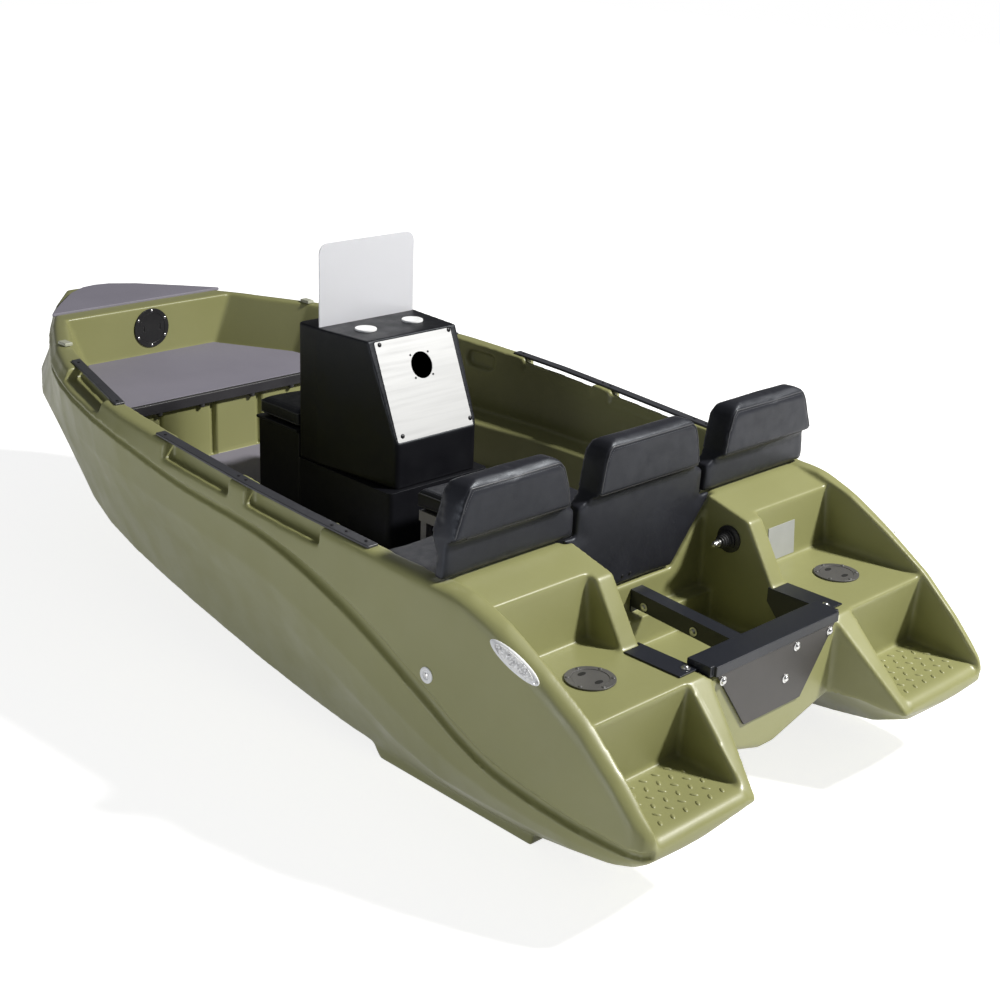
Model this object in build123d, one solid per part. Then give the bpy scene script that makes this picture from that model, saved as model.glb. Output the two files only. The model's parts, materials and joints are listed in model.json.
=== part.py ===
from build123d import *
import math
import os

os.makedirs("parts", exist_ok=True)

# Frame: millimetres, X to starboard, Y forward to the bow, Z up.
# Y = 0 is half way along the boat and Z = 0 is the floor under its three keels.
# A place along the boat is written from_stern, measured forward from the aft end
# of the stern, and fs() turns it into Y. Heights are above the floor.

# Hull
LENGTH = 4500
MIDSHIPS = 1715


def ahead(share):
    """Place forward of midships, as a share of the way from there to the bow."""
    return MIDSHIPS + share * (LENGTH - MIDSHIPS)


SECTION_STEP = 260
OUTSIDE = 1100
OPEN_Z = 1100
KEEL_PAD_HALF = 40
RUNNER_WIDTH = 90
GROOVE_DEPTH = 14
GROOVE_LIP = 6
SHOE_INNER = 668
SHOE_OUTER = 756
SHOE_AFT = 600
SHOE_FORE = 1345
SHOE_HEIGHT = 70
BOW_DECK_AFT = ahead(0.809)
BOW_DECK_Z = 990
STEM_TOP = ahead(0.959)
STEM_TOP_Z = 1000
NOSE_Z = 720
STEM_OVER = 90

# Stern: a stepped sponson on each side of the engine well, up to the seat backs
BACK_Y = 868
DECK_AFT = 712
DECK_AFT_Z = 822
DECK_FORE_Z = 863
RISER_RAKE = 18
STEP_Z = 600
STEP_AFT = 278
TREAD_Z = 345
TREAD_LIP = 38
TREAD_LIP_DROP = 28
STEP_OUTER = 868
FIN = 84
FIN_TIP_Z = 311
FIN_TOP_AFT = 547
FIN_TIP_DROP = 55
FIN_DECK_AFT = 676
FIN_DECK_Z = 812
FIN_FLARE = 410
TREAD_FLARE = 450

# Engine well and transom
WELL_HALF = 350
SLOT_HALF = 330
TRANSOM_AFT = 265
TRANSOM_THICK = 45
TRANSOM_TOP = 590
WELL_FLOOR_Z = 400
WELL_LEDGE_AFT = BACK_Y - 53
WELL_LEDGE_Z = 510
NOTCH_TOP_HALF = 393
NOTCH_HALF = 188
NOTCH_Z = 624

# Cockpit, bow locker and casting platform
COCKPIT_AFT = BACK_Y + 62
FLOOR_Z = 470
FLOOR_BOARD = 10
LEDGE_Z = 655
LOCKER_Y = ahead(0.5386)
LOCKER_GROOVES = (120, 400)
LOCKER_GROOVE = 8
PLATFORM_Z = 758
PLATFORM_PAD = 14
PLATFORM_BEAM = 24
BULKHEAD_Y = ahead(0.7756)
SIDE_POCKET = (ahead(0.278), ahead(0.336), 850, 922)
SIDE_POCKET_X = (820, 882)

# Clearances: pieces at rest, and pieces that move
SEAT_GAP = 0.3
MOVE_GAP = 6

# Hand rails and the hand holds under them
RAIL_WIDTH = 42
RAIL_THICK = 11
RAIL_SINK = 4
HOLD_INNER = 60
HOLD_WALL = 22
HOLD_WALL_X = 12
HOLD_WALL_LOW = 15
HOLD_TROUGH = 54

# Seats
BACK_LOW_THICK = 45
BACK_THICK = 114
BACK_PROUD = 36
BACK_TOP_Z = 1188
BACK_SEAM_Z = 1005
BACK_JOINT_X = 329
BACK_OUTER = 925
BACK_NOTCH_Z = 965
CUSHION_THICK = 85
CUSHION_EDGE = 16
BACK_GAP = 19
CUSHION_AFT = BACK_Y - BACK_PROUD + BACK_THICK + BACK_GAP
SIDE_INNER = 330
SIDE_OUTER = 862
SIDE_FORE = CUSHION_AFT + 480
SIDE_TOP_Z = 746
MIDDLE_HALF = 260
MIDDLE_FORE = CUSHION_AFT + 800
MIDDLE_TOP_Z = 770
SEAT_TUBE = 40
LEG_TUBE = 30
FOOT_R = 34
FOOT_THICK = 6
FRAME_INSET = 20
SIDE_FRAME_OUTER = 690

# Steering console, from the middle seat's leg room forward
LEG_ROOM = 140
CONSOLE_LONG = 545
CONSOLE_HALF = 250
CONSOLE_AFT_HALF = 208
CONSOLE_WALL = 12
CONSOLE_EDGE = 24
CONSOLE_AFT = MIDDLE_FORE + LEG_ROOM
CONSOLE_FORE = CONSOLE_AFT + CONSOLE_LONG
SCREEN_Y = CONSOLE_FORE - 120
CONSOLE_BASE_Z = 705
CONSOLE_TOP_Z = 1255
DASH_LEAN = 155
DASH_LOW_Z = 880
DASH_TOP_Y = CONSOLE_AFT + DASH_LEAN
DASH_PLATE_HALF = 193
DASH_PLATE_SIDE = 388
DASH_PLATE_THICK = 3
DASH_RECESS = 5
HELM_HOLE_R = 52
HELM_PCD = 126
HELM_SCREW_R = 3
HELM_X = 9
HELM_UP = 76
CAP_R = 42
CAP_THICK = 8
CAP_X = 118
SCREEN_THICK = 5
SCREEN_HALF = 238
SCREEN_CORNER = 40
SCREEN_TOP_Z = 1576
SCREEN_FOOT_Z = 1160

# Forward seat locker with its hinged lid
LOCKER_HALF = 246
LOCKER_LONG = 265
LOCKER_FORE = CONSOLE_FORE + LOCKER_LONG
LOCKER_TOP_Z = 800
LOCKER_WALL = 12
LID_LAP = 8
LID_THICK = 12
LID_CUSHION = 76

# Round deck hatches: outer radius of the ring and radius of the lid
STERN_HATCH_R = 81
STERN_LID_R = 60
STERN_HATCH_X = 648
STERN_HATCH_Y = 487
BOW_HATCH_R = 91
BOW_LID_R = 70
BOW_HATCH_Z = 893
HATCH_RING = 6
HATCH_SINK = 22
HATCH_COLLAR = 3.5


def fs(from_stern):
    """Y of a place measured forward from the aft end of the hull."""
    return from_stern - LENGTH / 2


def block(x0, x1, y0, y1, z0, z1):
    """Box between two corners, with its Y limits measured from the stern."""
    centre = Pos((x0 + x1) / 2, fs((y0 + y1) / 2), (z0 + z1) / 2)
    return centre * Box(x1 - x0, y1 - y0, z1 - z0)


def section(points, from_stern):
    """Closed face across the boat from the (x, z) points of its starboard half."""
    right = [(x, fs(from_stern), z) for x, z in points]
    left = [(-x, y, z) for x, y, z in reversed(right) if x > 0]
    return Face(Wire.make_polygon(right + left, close=True))


def across(points, x0, x1):
    """Prism along X from (from_stern, z) points."""
    wire = Wire.make_polygon([(x0, fs(y), z) for y, z in points], close=True)
    return extrude(Face(wire), amount=x1 - x0, dir=(1, 0, 0))


def upright(points, z0, z1):
    """Prism along Z from (x, from_stern) points."""
    wire = Wire.make_polygon([(x, fs(y), z0) for x, y in points], close=True)
    return extrude(Face(wire), amount=z1 - z0, dir=(0, 0, 1))


def along(points, y0, y1):
    """Prism along Y from (x, z) points."""
    wire = Wire.make_polygon([(x, fs(y0), z) for x, z in points], close=True)
    return extrude(Face(wire), amount=y1 - y0, dir=(0, 1, 0))


def both_halves(points):
    """Starboard (x, other) points, closed by the same ones to port."""
    return points + [(-x, other) for x, other in reversed(points) if x > 0]


def port(shape):
    return mirror(shape, about=Plane.YZ)


def save(shape, name):
    export_step(shape, "parts/%s.step" % name)


def save_pair(shape, name):
    save(shape, name + "_starboard")
    save(port(shape), name + "_port")


# Hull lines. Columns: from_stern, half width at the sheer and at the band, sheer
# height, radius of the gunwale's outer edge, height and width of the side groove,
# chine half width and height, runner half width and height, tunnel half width and
# height, keel height. Aft of the cockpit the sheer falls along the stern's rim.
STATIONS = [
    (0, 885, 892, 350, 24, 307, 14, 878, 290, 738, 281, 380, 300, 293),
    (20, 908, 917, 380, 44, 305, 16, 895, 272, 742, 262, 380, 302, 288),
    (60, 922, 932, 422, 56, 303, 18, 902, 248, 745, 223, 378, 306, 280),
    (135, 927, 936, 499, 60, 302, 22, 905, 224, 747, 152, 374, 316, 264),
    (270, 931, 940, 617, 60, 303, 30, 905, 201, 750, 93, 370, 330, 236),
    (440, 938, 946, 722, 58, 320, 38, 898, 182, 752, 65, 400, 295, 186),
    (615, 944, 952, 815, 52, 352, 46, 890, 172, 755, 42, 430, 250, 130),
    (765, 948, 955, 862, 40, 408, 54, 887, 166, 755, 38, 436, 228, 94),
    (915, 951, 958, 867, 28, 486, 58, 885, 168, 755, 36, 440, 212, 60),
    (1315, 958, 966, 886, 28, 665, 48, 888, 292, 758, 46, 440, 200, -4),
    (MIDSHIPS, 962, 970, 908, 28, 770, 24, 890, 439, 765, 88, 440, 210, -4),
    (ahead(0.18), 960, 970, 940, 28, 813, 14, 888, 533, 780, 186, 430, 240, -4),
    (ahead(0.34), 936, 955, 960, 28, 871, 13, 870, 577, 765, 262, 410, 290, -4),
    (ahead(0.50), 852, 877, 978, 28, 903, 12, 806, 615, 716, 331, 370, 340, 8),
    (ahead(0.645), 704, 730, 988, 28, 915, 12, 706, 662, 602, 412, 310, 400, 50),
    (ahead(0.77), 515, 538, 994, 28, 930, 12, 583, 692, 443, 510, 230, 480, 160),
    (ahead(0.88), 320, 340, 998, 28, 938, 12, 415, 698, 300, 585, 150, 560, 330),
    (ahead(0.9425), 175, 195, 1000, 26, 942, 11, 275, 706, 200, 635, 100, 620, 500),
    (LENGTH, 40, 50, 1000, 12, 946, 8, 120, 730, 90, 700, 50, 690, 660),
]


def steepness(i, column):
    """Rise of one column over the stretch that starts at row i of the hull lines."""
    low, high = STATIONS[i], STATIONS[i + 1]
    return (high[column] - low[column]) / (high[0] - low[0])


def slope(i, column):
    """Slope of one column at row i, level where the column turns back."""
    before = steepness(max(i - 1, 0), column)
    after = steepness(min(i, len(STATIONS) - 2), column)
    if before * after <= 0:
        return 0
    return 2 * before * after / (before + after)


def at(from_stern, column):
    """One column of the hull lines at any place along the boat, on a smooth curve."""
    i = max(i for i in range(len(STATIONS) - 1) if STATIONS[i][0] <= from_stern)
    span = STATIONS[i + 1][0] - STATIONS[i][0]
    start, rise = STATIONS[i][column], STATIONS[i + 1][column] - STATIONS[i][column]
    a, b = slope(i, column) * span, slope(i + 1, column) * span
    t = (from_stern - STATIONS[i][0]) / span
    return start + a * t + (3 * rise - 2 * a - b) * t ** 2 + (a + b - 2 * rise) * t ** 3


def half_top(from_stern):
    return at(from_stern, 1)


def sheer(from_stern):
    return at(from_stern, 3)


def section_places():
    """Where the hull is cut into sections: its table's rows and places between them."""
    places = []
    for low, high in zip(STATIONS, STATIONS[1:]):
        count = max(1, round((high[0] - low[0]) / SECTION_STEP))
        places += [low[0] + (high[0] - low[0]) * k / count for k in range(count)]
    return places + [LENGTH]


def hull_outline(from_stern):
    """Starboard half of one hull section, from the keel up to the deck, as (x, z)."""
    row = [at(from_stern, column) for column in range(1, len(STATIONS[0]))]
    half, band, top, edge, groove_z, groove, chine_x, chine_z, run_x, run_z, tun_x, tun_z, keel = row
    pad = min(KEEL_PAD_HALF, tun_x / 2)
    run_in = max(run_x - RUNNER_WIDTH, (run_x + tun_x) / 2)
    depth = min(GROOVE_DEPTH, band / 6)
    low_lip = band - depth / 2
    low_z = groove_z - groove / 2 - GROOVE_LIP
    return [
        (0, keel), (pad, keel), (tun_x, tun_z), (run_in, run_z), (run_x, run_z), (chine_x, chine_z),
        (chine_x + 0.72 * (low_lip - chine_x), (chine_z + low_z) / 2),
        (low_lip, low_z), (band - depth, low_z + GROOVE_LIP), (band - depth, groove_z + groove / 2),
        (band, groove_z + groove / 2 + GROOVE_LIP),
        (half, top - edge), (half - 0.13 * edge, top - 0.5 * edge),
        (half - 0.5 * edge, top - 0.13 * edge), (half - edge, top), (0, top),
    ]


# Cockpit sections. Columns: from_stern, half width of the floor, of the side
# ledge and at the gunwale.
COCKPIT = [
    (COCKPIT_AFT, 700, 745, 880),
    (1600, 720, 765, 888),
    (ahead(0.174), 715, 760, 892),
    (ahead(0.366), 640, 690, 848),
    (LOCKER_Y, 520, 590, 724),
]
# Bow well above the platform. Columns: from_stern, half width low and at the top.
BOW_WELL = [(LOCKER_Y - 1, 590, 724), (ahead(0.6463), 545, 628), (BULKHEAD_Y, 345, 434)]


def cockpit_space():
    faces = []
    for y, floor_half, ledge_half, top_half in COCKPIT:
        outline = [(0, FLOOR_Z), (floor_half, FLOOR_Z), (ledge_half, LEDGE_Z - 5)]
        outline += [(top_half - 8, LEDGE_Z), (top_half, OPEN_Z), (0, OPEN_Z)]
        faces.append(section(outline, y))
    return loft(faces, ruled=True)


def bow_space():
    faces = []
    for y, low_half, top_half in BOW_WELL:
        outline = [(0, PLATFORM_Z), (low_half, PLATFORM_Z), (top_half, BOW_DECK_Z)]
        outline += [(top_half, OPEN_Z), (0, OPEN_Z)]
        faces.append(section(outline, y))
    return loft(faces, ruled=True)


def steps_space():
    """What is cut above the deck, the middle step and the lower tread of a sponson."""
    foot = DECK_AFT - RISER_RAKE
    fore = COCKPIT_AFT + 5
    steps = across(
        [(-50, TREAD_Z - 2 * TREAD_LIP_DROP), (0, TREAD_Z - TREAD_LIP_DROP), (TREAD_LIP / 2, TREAD_Z - 8),
         (TREAD_LIP, TREAD_Z), (STEP_AFT + RISER_RAKE, TREAD_Z), (STEP_AFT, STEP_Z), (foot, STEP_Z),
         (DECK_AFT, DECK_AFT_Z), (BACK_Y, DECK_FORE_Z), (fore, DECK_FORE_Z), (fore, OPEN_Z), (-50, OPEN_Z)],
        WELL_HALF + FIN, STEP_OUTER)
    plan = upright(
        [(TREAD_FLARE, -60), (TREAD_FLARE, 0), (WELL_HALF + FIN, STEP_AFT), (WELL_HALF + FIN, fore + 5),
         (STEP_OUTER, fore + 5), (STEP_OUTER, -60)], 0, OPEN_Z)
    return steps & plan


def fin_space():
    """What is cut above the fins that part the steps from the engine well."""
    return across(
        [(-50, FIN_TIP_Z - FIN_TIP_DROP), (0, FIN_TIP_Z), (STEP_AFT, STEP_Z), (FIN_TOP_AFT, STEP_Z),
         (FIN_DECK_AFT, FIN_DECK_Z),
         (BACK_Y, DECK_FORE_Z), (COCKPIT_AFT + 5, DECK_FORE_Z), (COCKPIT_AFT + 5, OPEN_Z),
         (-50, OPEN_Z)],
        -TREAD_FLARE, TREAD_FLARE)


def notch(inset):
    """Outline (x, z) of the dip in the deck ahead of the well, drawn in by inset."""
    return both_halves([(NOTCH_HALF - inset, NOTCH_Z), (NOTCH_TOP_HALF - inset, DECK_FORE_Z)])


def well_space():
    fore = TRANSOM_AFT + TRANSOM_THICK
    well = block(-WELL_HALF, WELL_HALF, fore, WELL_LEDGE_AFT, WELL_FLOOR_Z, OPEN_Z)
    ledge = block(-WELL_HALF, WELL_HALF, WELL_LEDGE_AFT - 1, BACK_Y, WELL_LEDGE_Z, OPEN_Z)
    top = block(-WELL_HALF, WELL_HALF, TRANSOM_AFT - 1, WELL_LEDGE_AFT, TRANSOM_TOP, OPEN_Z)
    slot = upright(both_halves([(SLOT_HALF, TRANSOM_AFT), (FIN_FLARE, 0), (FIN_FLARE + 15, -50)]),
                   -50, OPEN_Z)
    return well + ledge + top + slot + along(notch(0), BACK_Y - 1, COCKPIT_AFT + 5)


def ribbon(rows, low, high):
    """Bar that follows rows of (x_in, x_out, from_stern, z), from z + low to z + high."""
    faces = []
    for x0, x1, y, z in rows:
        corners = [(x0, z + low), (x1, z + low), (x1, z + high), (x0, z + high)]
        faces.append(Face(Wire.make_polygon([(x, fs(y), cz) for x, cz in corners], close=True)))
    return loft(faces, ruled=True)


# Hand rails on the gunwale. Columns: x, from_stern.
RAILS = {
    "handrail_aft": [(914, 1200), (925, 1520), (931, 1845), (927, 2120), (916, 2400)],
    "handrail_fore": [(868, ahead(0.37)), (798, ahead(0.47)), (722, ahead(0.573))],
}
# Hand holds under the rails. Columns: rail, from, to (both from_stern), depth outside.
HOLDS = [("handrail_aft", 1425, 1825, 68), ("handrail_aft", 1925, 2325, 68),
         ("handrail_fore", ahead(0.3986), ahead(0.5458), 48)]


def rail_rows(name, spare):
    half = RAIL_WIDTH / 2 + spare
    return [(x - half, x + half, y, sheer(y)) for x, y in RAILS[name]]


def rail_x(name, from_stern):
    rows = RAILS[name]
    for (x0, y0), (x1, y1) in zip(rows, rows[1:]):
        if y0 <= from_stern <= y1:
            return x0 + (x1 - x0) * (from_stern - y0) / (y1 - y0)


def rail(name):
    return ribbon(rail_rows(name, 0), -RAIL_SINK, RAIL_THICK - RAIL_SINK)


def rail_bed(name):
    return ribbon(rail_rows(name, SEAT_GAP), -RAIL_SINK - SEAT_GAP, 60)


def hand_hold(name, start, end, depth):
    """Recess outside a rail and trough inside it, parted by a low wall under the rail."""
    recess, over, trough = [], [], []
    for y in (start, (start + end) / 2, end):
        wall_out = rail_x(name, y) - HOLD_WALL_X
        wall_in = wall_out - HOLD_WALL
        recess.append((wall_out, half_top(y) + 60, y, sheer(y)))
        over.append((wall_in - 1, wall_out + 1, y, sheer(y)))
        trough.append((rail_x(name, y) - RAIL_WIDTH / 2 - HOLD_INNER, wall_in, y, sheer(y)))
    space = ribbon(recess, -depth, 60) + ribbon(over, -HOLD_WALL_LOW, 60)
    return space + ribbon(trough, -HOLD_TROUGH, 60)


# Bow deck outline, starboard half. Columns: x, from_stern.
BOW_PAD = [(446, BOW_DECK_AFT), (446, ahead(0.8115)), (330, ahead(0.86)), (175, ahead(0.919)),
           (70, ahead(0.9443)), (0, ahead(0.949))]


def shoe():
    """Flat wearing shoe under one of the outer runners."""
    return across([(SHOE_AFT, 0), (SHOE_AFT - 10, SHOE_HEIGHT), (SHOE_FORE + 55, SHOE_HEIGHT),
                   (SHOE_FORE, 0)], SHOE_INNER, SHOE_OUTER)


def side_pocket():
    y0, y1, z0, z1 = SIDE_POCKET
    pocket = block(*SIDE_POCKET_X, y0, y1, z0, z1)
    return fillet(pocket.edges().filter_by(Axis.X), (z1 - z0) * 0.45)


def hull():
    body = loft([section(hull_outline(y), y) for y in section_places()], ruled=True)
    body -= block(-OUTSIDE, OUTSIDE, -50, LENGTH + 50, -50, 0)
    body += shoe() + port(shoe())
    body -= across([(STEM_TOP, OPEN_Z), (STEM_TOP, STEM_TOP_Z), (LENGTH, NOSE_Z),
                    (LENGTH + STEM_OVER, NOSE_Z - 120), (LENGTH + STEM_OVER, OPEN_Z)], -OUTSIDE, OUTSIDE)
    body -= block(-OUTSIDE, OUTSIDE, BOW_DECK_AFT, LENGTH + 50, BOW_DECK_Z, OPEN_Z)
    body -= cockpit_space() + bow_space()
    body -= fin_space()
    body -= well_space()
    body -= block(-BACK_OUTER - 3, BACK_OUTER + 3, BACK_Y - 3, COCKPIT_AFT + 5, DECK_FORE_Z, OPEN_Z)
    spaces = [steps_space(), side_pocket()]
    spaces += [rail_bed(name) for name in RAILS]
    spaces += [hand_hold(*hold) for hold in HOLDS]
    spaces += [block(x, x + LOCKER_GROOVE, LOCKER_Y - 1, LOCKER_Y + LOCKER_GROOVE, FLOOR_Z, PLATFORM_Z - 48)
               for x in LOCKER_GROOVES]
    spaces.append(Pos(STERN_HATCH_X, fs(STERN_HATCH_Y), STEP_Z) * hatch_bore(STERN_LID_R))
    for space in spaces:
        body -= space
        body -= port(space)
    return body - Pos(0, fs(BULKHEAD_Y), BOW_HATCH_Z) * Rot(90, 0, 0) * hatch_bore(BOW_LID_R)


def hatch_bore(inner):
    return Cylinder(inner + HATCH_COLLAR + 0.5, 2 * HATCH_SINK + 4)


def hatch_ring(outer, inner):
    """Ring of a round deck hatch, standing on z = 0 with its collar below."""
    ring = Pos(0, 0, HATCH_RING / 2 + SEAT_GAP) * Cylinder(outer, HATCH_RING)
    collar = Pos(0, 0, -HATCH_SINK / 2 + 3) * Cylinder(inner + HATCH_COLLAR, HATCH_SINK)
    return ring + collar - Cylinder(inner + SEAT_GAP, 4 * HATCH_SINK)


def hatch_lid(inner):
    """Screw-in lid with two finger recesses."""
    lid = Pos(0, 0, 2) * Cylinder(inner, HATCH_RING)
    for side in (-1, 1):
        lid -= Pos(side * inner * 0.6, 0, HATCH_RING / 2 + 3) * Box(9, 26, 8)
    return lid


def hatches():
    place = Pos(STERN_HATCH_X, fs(STERN_HATCH_Y), STEP_Z)
    save_pair(place * hatch_ring(STERN_HATCH_R, STERN_LID_R), "stern_hatch_ring")
    save_pair(place * hatch_lid(STERN_LID_R), "stern_hatch_lid")
    place = Pos(0, fs(BULKHEAD_Y), BOW_HATCH_Z) * Rot(90, 0, 0)
    save(place * hatch_ring(BOW_HATCH_R, BOW_LID_R), "bow_hatch_ring")
    save(place * hatch_lid(BOW_LID_R), "bow_hatch_lid")


def decks():
    save(upright(both_halves(BOW_PAD), BOW_DECK_Z + SEAT_GAP, BOW_DECK_Z + PLATFORM_PAD), "bow_deck_pad")
    rows = [(half - 4, y) for y, half, _ in BOW_WELL]
    rows[0] = (rows[0][0], LOCKER_Y + 1)
    rows[-1] = (rows[-1][0], BULKHEAD_Y - 4)
    top = PLATFORM_Z + PLATFORM_PAD
    save(upright(both_halves(rows), PLATFORM_Z + SEAT_GAP, top), "casting_platform")
    half = rows[0][0]
    beam = block(-half, half, LOCKER_Y - PLATFORM_BEAM, LOCKER_Y - SEAT_GAP, PLATFORM_Z - 32, top)
    save(beam, "platform_beam")
    rows = [(half - 4, y) for y, half, _, _ in COCKPIT]
    rows[0] = (rows[0][0], COCKPIT_AFT + 4)
    rows[-1] = (rows[-1][0], LOCKER_Y - 4)
    save(upright(both_halves(rows), FLOOR_Z + SEAT_GAP, FLOOR_Z + FLOOR_BOARD), "floor_board")


def back_profile(x0, x1):
    """Side outline of a padded back: a thin lower panel under a thicker pad, proud aft."""
    y, low = BACK_Y, BACK_LOW_THICK
    z = DECK_FORE_Z + SEAT_GAP
    aft, fore = y - BACK_PROUD, y - BACK_PROUD + BACK_THICK
    profile = [(y, z), (y, BACK_SEAM_Z - 12), (aft, BACK_SEAM_Z), (aft, BACK_TOP_Z - 40)]
    profile += [(aft + 6, BACK_TOP_Z - 16), (aft + 22, BACK_TOP_Z), (fore - 34, BACK_TOP_Z - 3)]
    profile += [(fore - 12, BACK_TOP_Z - 16), (fore - 3, BACK_TOP_Z - 45), (fore, BACK_SEAM_Z)]
    profile += [(y + low, BACK_SEAM_Z - 60), (y + low, z)]
    return across(profile, x0, x1)


# Outlines of the backs seen from aft, starboard half. Columns: x, z.
SIDE_BACK = [(BACK_JOINT_X + 2, 0), (BACK_JOINT_X + 2, BACK_NOTCH_Z), (388, BACK_SEAM_Z), (402, 1085),
             (424, 1150), (446, 1176), (480, BACK_TOP_Z + 1), (812, BACK_TOP_Z + 1), (846, 1172),
             (866, 1140), (888, 1080), (916, BACK_SEAM_Z), (BACK_OUTER, 900), (BACK_OUTER, 0)]
MIDDLE_BACK = [(BACK_JOINT_X, 0), (BACK_JOINT_X, BACK_NOTCH_Z), (262, BACK_SEAM_Z), (240, 1120),
               (226, 1156), (204, 1179), (178, BACK_TOP_Z + 1)]


def seats():
    side = back_profile(SIDE_INNER - 10, BACK_OUTER + 5) & along(SIDE_BACK, BACK_Y - 90, BACK_Y + 200)
    save_pair(side, "backrest")
    middle = along(both_halves(MIDDLE_BACK), BACK_Y - 90, BACK_Y + 200)
    save(back_profile(-NOTCH_TOP_HALF, NOTCH_TOP_HALF) & middle, "backrest_middle")
    panel = along(notch(1.5 * SEAT_GAP), BACK_Y, BACK_Y + BACK_LOW_THICK / 2)
    below = block(-OUTSIDE, OUTSIDE, 0, LENGTH, 0, DECK_FORE_Z)
    save(Pos(0, 0, SEAT_GAP) * panel & below, "middle_back_panel")

    low = SIDE_TOP_Z - CUSHION_THICK + SEAT_GAP
    save_pair(cushion(SIDE_INNER, SIDE_OUTER, CUSHION_AFT, SIDE_FORE, low, SIDE_TOP_Z), "seat_cushion")
    low = MIDDLE_TOP_Z - CUSHION_THICK + SEAT_GAP
    middle = cushion(-MIDDLE_HALF, MIDDLE_HALF, CUSHION_AFT, MIDDLE_FORE, low, MIDDLE_TOP_Z)
    save(middle, "seat_cushion_middle")


def cushion(x0, x1, y0, y1, z0, z1):
    """Block with a rounded top edge."""
    pad = block(x0, x1, y0, y1, z0, z1)
    return fillet(pad.faces().sort_by(Axis.Z)[-1].edges(), CUSHION_EDGE)


def seat_frame(x0, x1, y0, y1, top):
    """Two cross tubes and two side tubes on four legs with round feet."""
    foot_z = FLOOR_Z + FLOOR_BOARD + SEAT_GAP
    tube = SEAT_TUBE
    frame = block(x0, x1, y0, y0 + tube, top - tube, top)
    frame += block(x0, x1, y1 - tube, y1, top - tube, top)
    for x in (x0, x1 - tube):
        frame += block(x, x + tube, y0, y1, top - tube, top)
    for x in (x0 + tube / 2, x1 - tube / 2):
        for y in (y0 + tube / 2, y1 - tube / 2):
            half = LEG_TUBE / 2
            frame += block(x - half, x + half, y - half, y + half, foot_z, top - tube)
            frame += Pos(x, fs(y), foot_z + FOOT_THICK / 2) * Cylinder(FOOT_R, FOOT_THICK)
    return frame


def seat_frames():
    aft = CUSHION_AFT + FRAME_INSET
    side = seat_frame(SIDE_INNER + FRAME_INSET, SIDE_FRAME_OUTER, aft, SIDE_FORE - 2 * FRAME_INSET,
                      SIDE_TOP_Z - CUSHION_THICK)
    save_pair(side, "seat_frame")
    half = MIDDLE_HALF - FRAME_INSET
    middle = seat_frame(-half, half, aft, MIDDLE_FORE - 1.5 * FRAME_INSET, MIDDLE_TOP_Z - CUSHION_THICK)
    save(middle, "seat_frame_middle")


def console_shape(inset, base_z):
    """Console body drawn in by inset: its side outline crossed with its plan."""
    side = across(
        [(CONSOLE_AFT + inset, base_z), (CONSOLE_AFT + inset, DASH_LOW_Z + 0.2 * inset),
         (DASH_TOP_Y + 0.7 * inset, CONSOLE_TOP_Z - inset), (CONSOLE_FORE - inset, CONSOLE_TOP_Z - inset),
         (CONSOLE_FORE - inset, base_z)],
        -CONSOLE_HALF - 10, CONSOLE_HALF + 10)
    plan = upright(both_halves(
        [(CONSOLE_AFT_HALF - inset, CONSOLE_AFT + inset), (CONSOLE_HALF - inset, SCREEN_Y),
         (CONSOLE_HALF - inset, CONSOLE_FORE - inset)]), base_z - 5, CONSOLE_TOP_Z + 5)
    corners = [edge for edge in plan.edges().filter_by(Axis.Z) if edge.center().Y != fs(SCREEN_Y)]
    return side & fillet(corners, CONSOLE_EDGE - inset)


def dash_plane():
    rise = Vector(0, DASH_TOP_Y - CONSOLE_AFT, CONSOLE_TOP_Z - DASH_LOW_Z)
    middle = Vector(0, fs((DASH_TOP_Y + CONSOLE_AFT) / 2), (CONSOLE_TOP_Z + DASH_LOW_Z) / 2)
    return Plane(origin=middle, x_dir=(1, 0, 0), z_dir=(0, -rise.Z, rise.Y))


def dash_plate():
    plate = Box(2 * DASH_PLATE_HALF, DASH_PLATE_SIDE, DASH_PLATE_THICK)
    plate -= Pos(HELM_X, HELM_UP, 0) * Cylinder(HELM_HOLE_R, 20)
    for angle in (45, 135, 225, 315):
        turn = math.radians(angle)
        x = HELM_X + HELM_PCD / 2 * math.cos(turn)
        y = HELM_UP + HELM_PCD / 2 * math.sin(turn)
        plate -= Pos(x, y, 0) * Cylinder(HELM_SCREW_R, 20)
    depth = DASH_RECESS - SEAT_GAP - DASH_PLATE_THICK / 2
    return dash_plane() * Pos(0, 0, -depth) * plate


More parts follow.
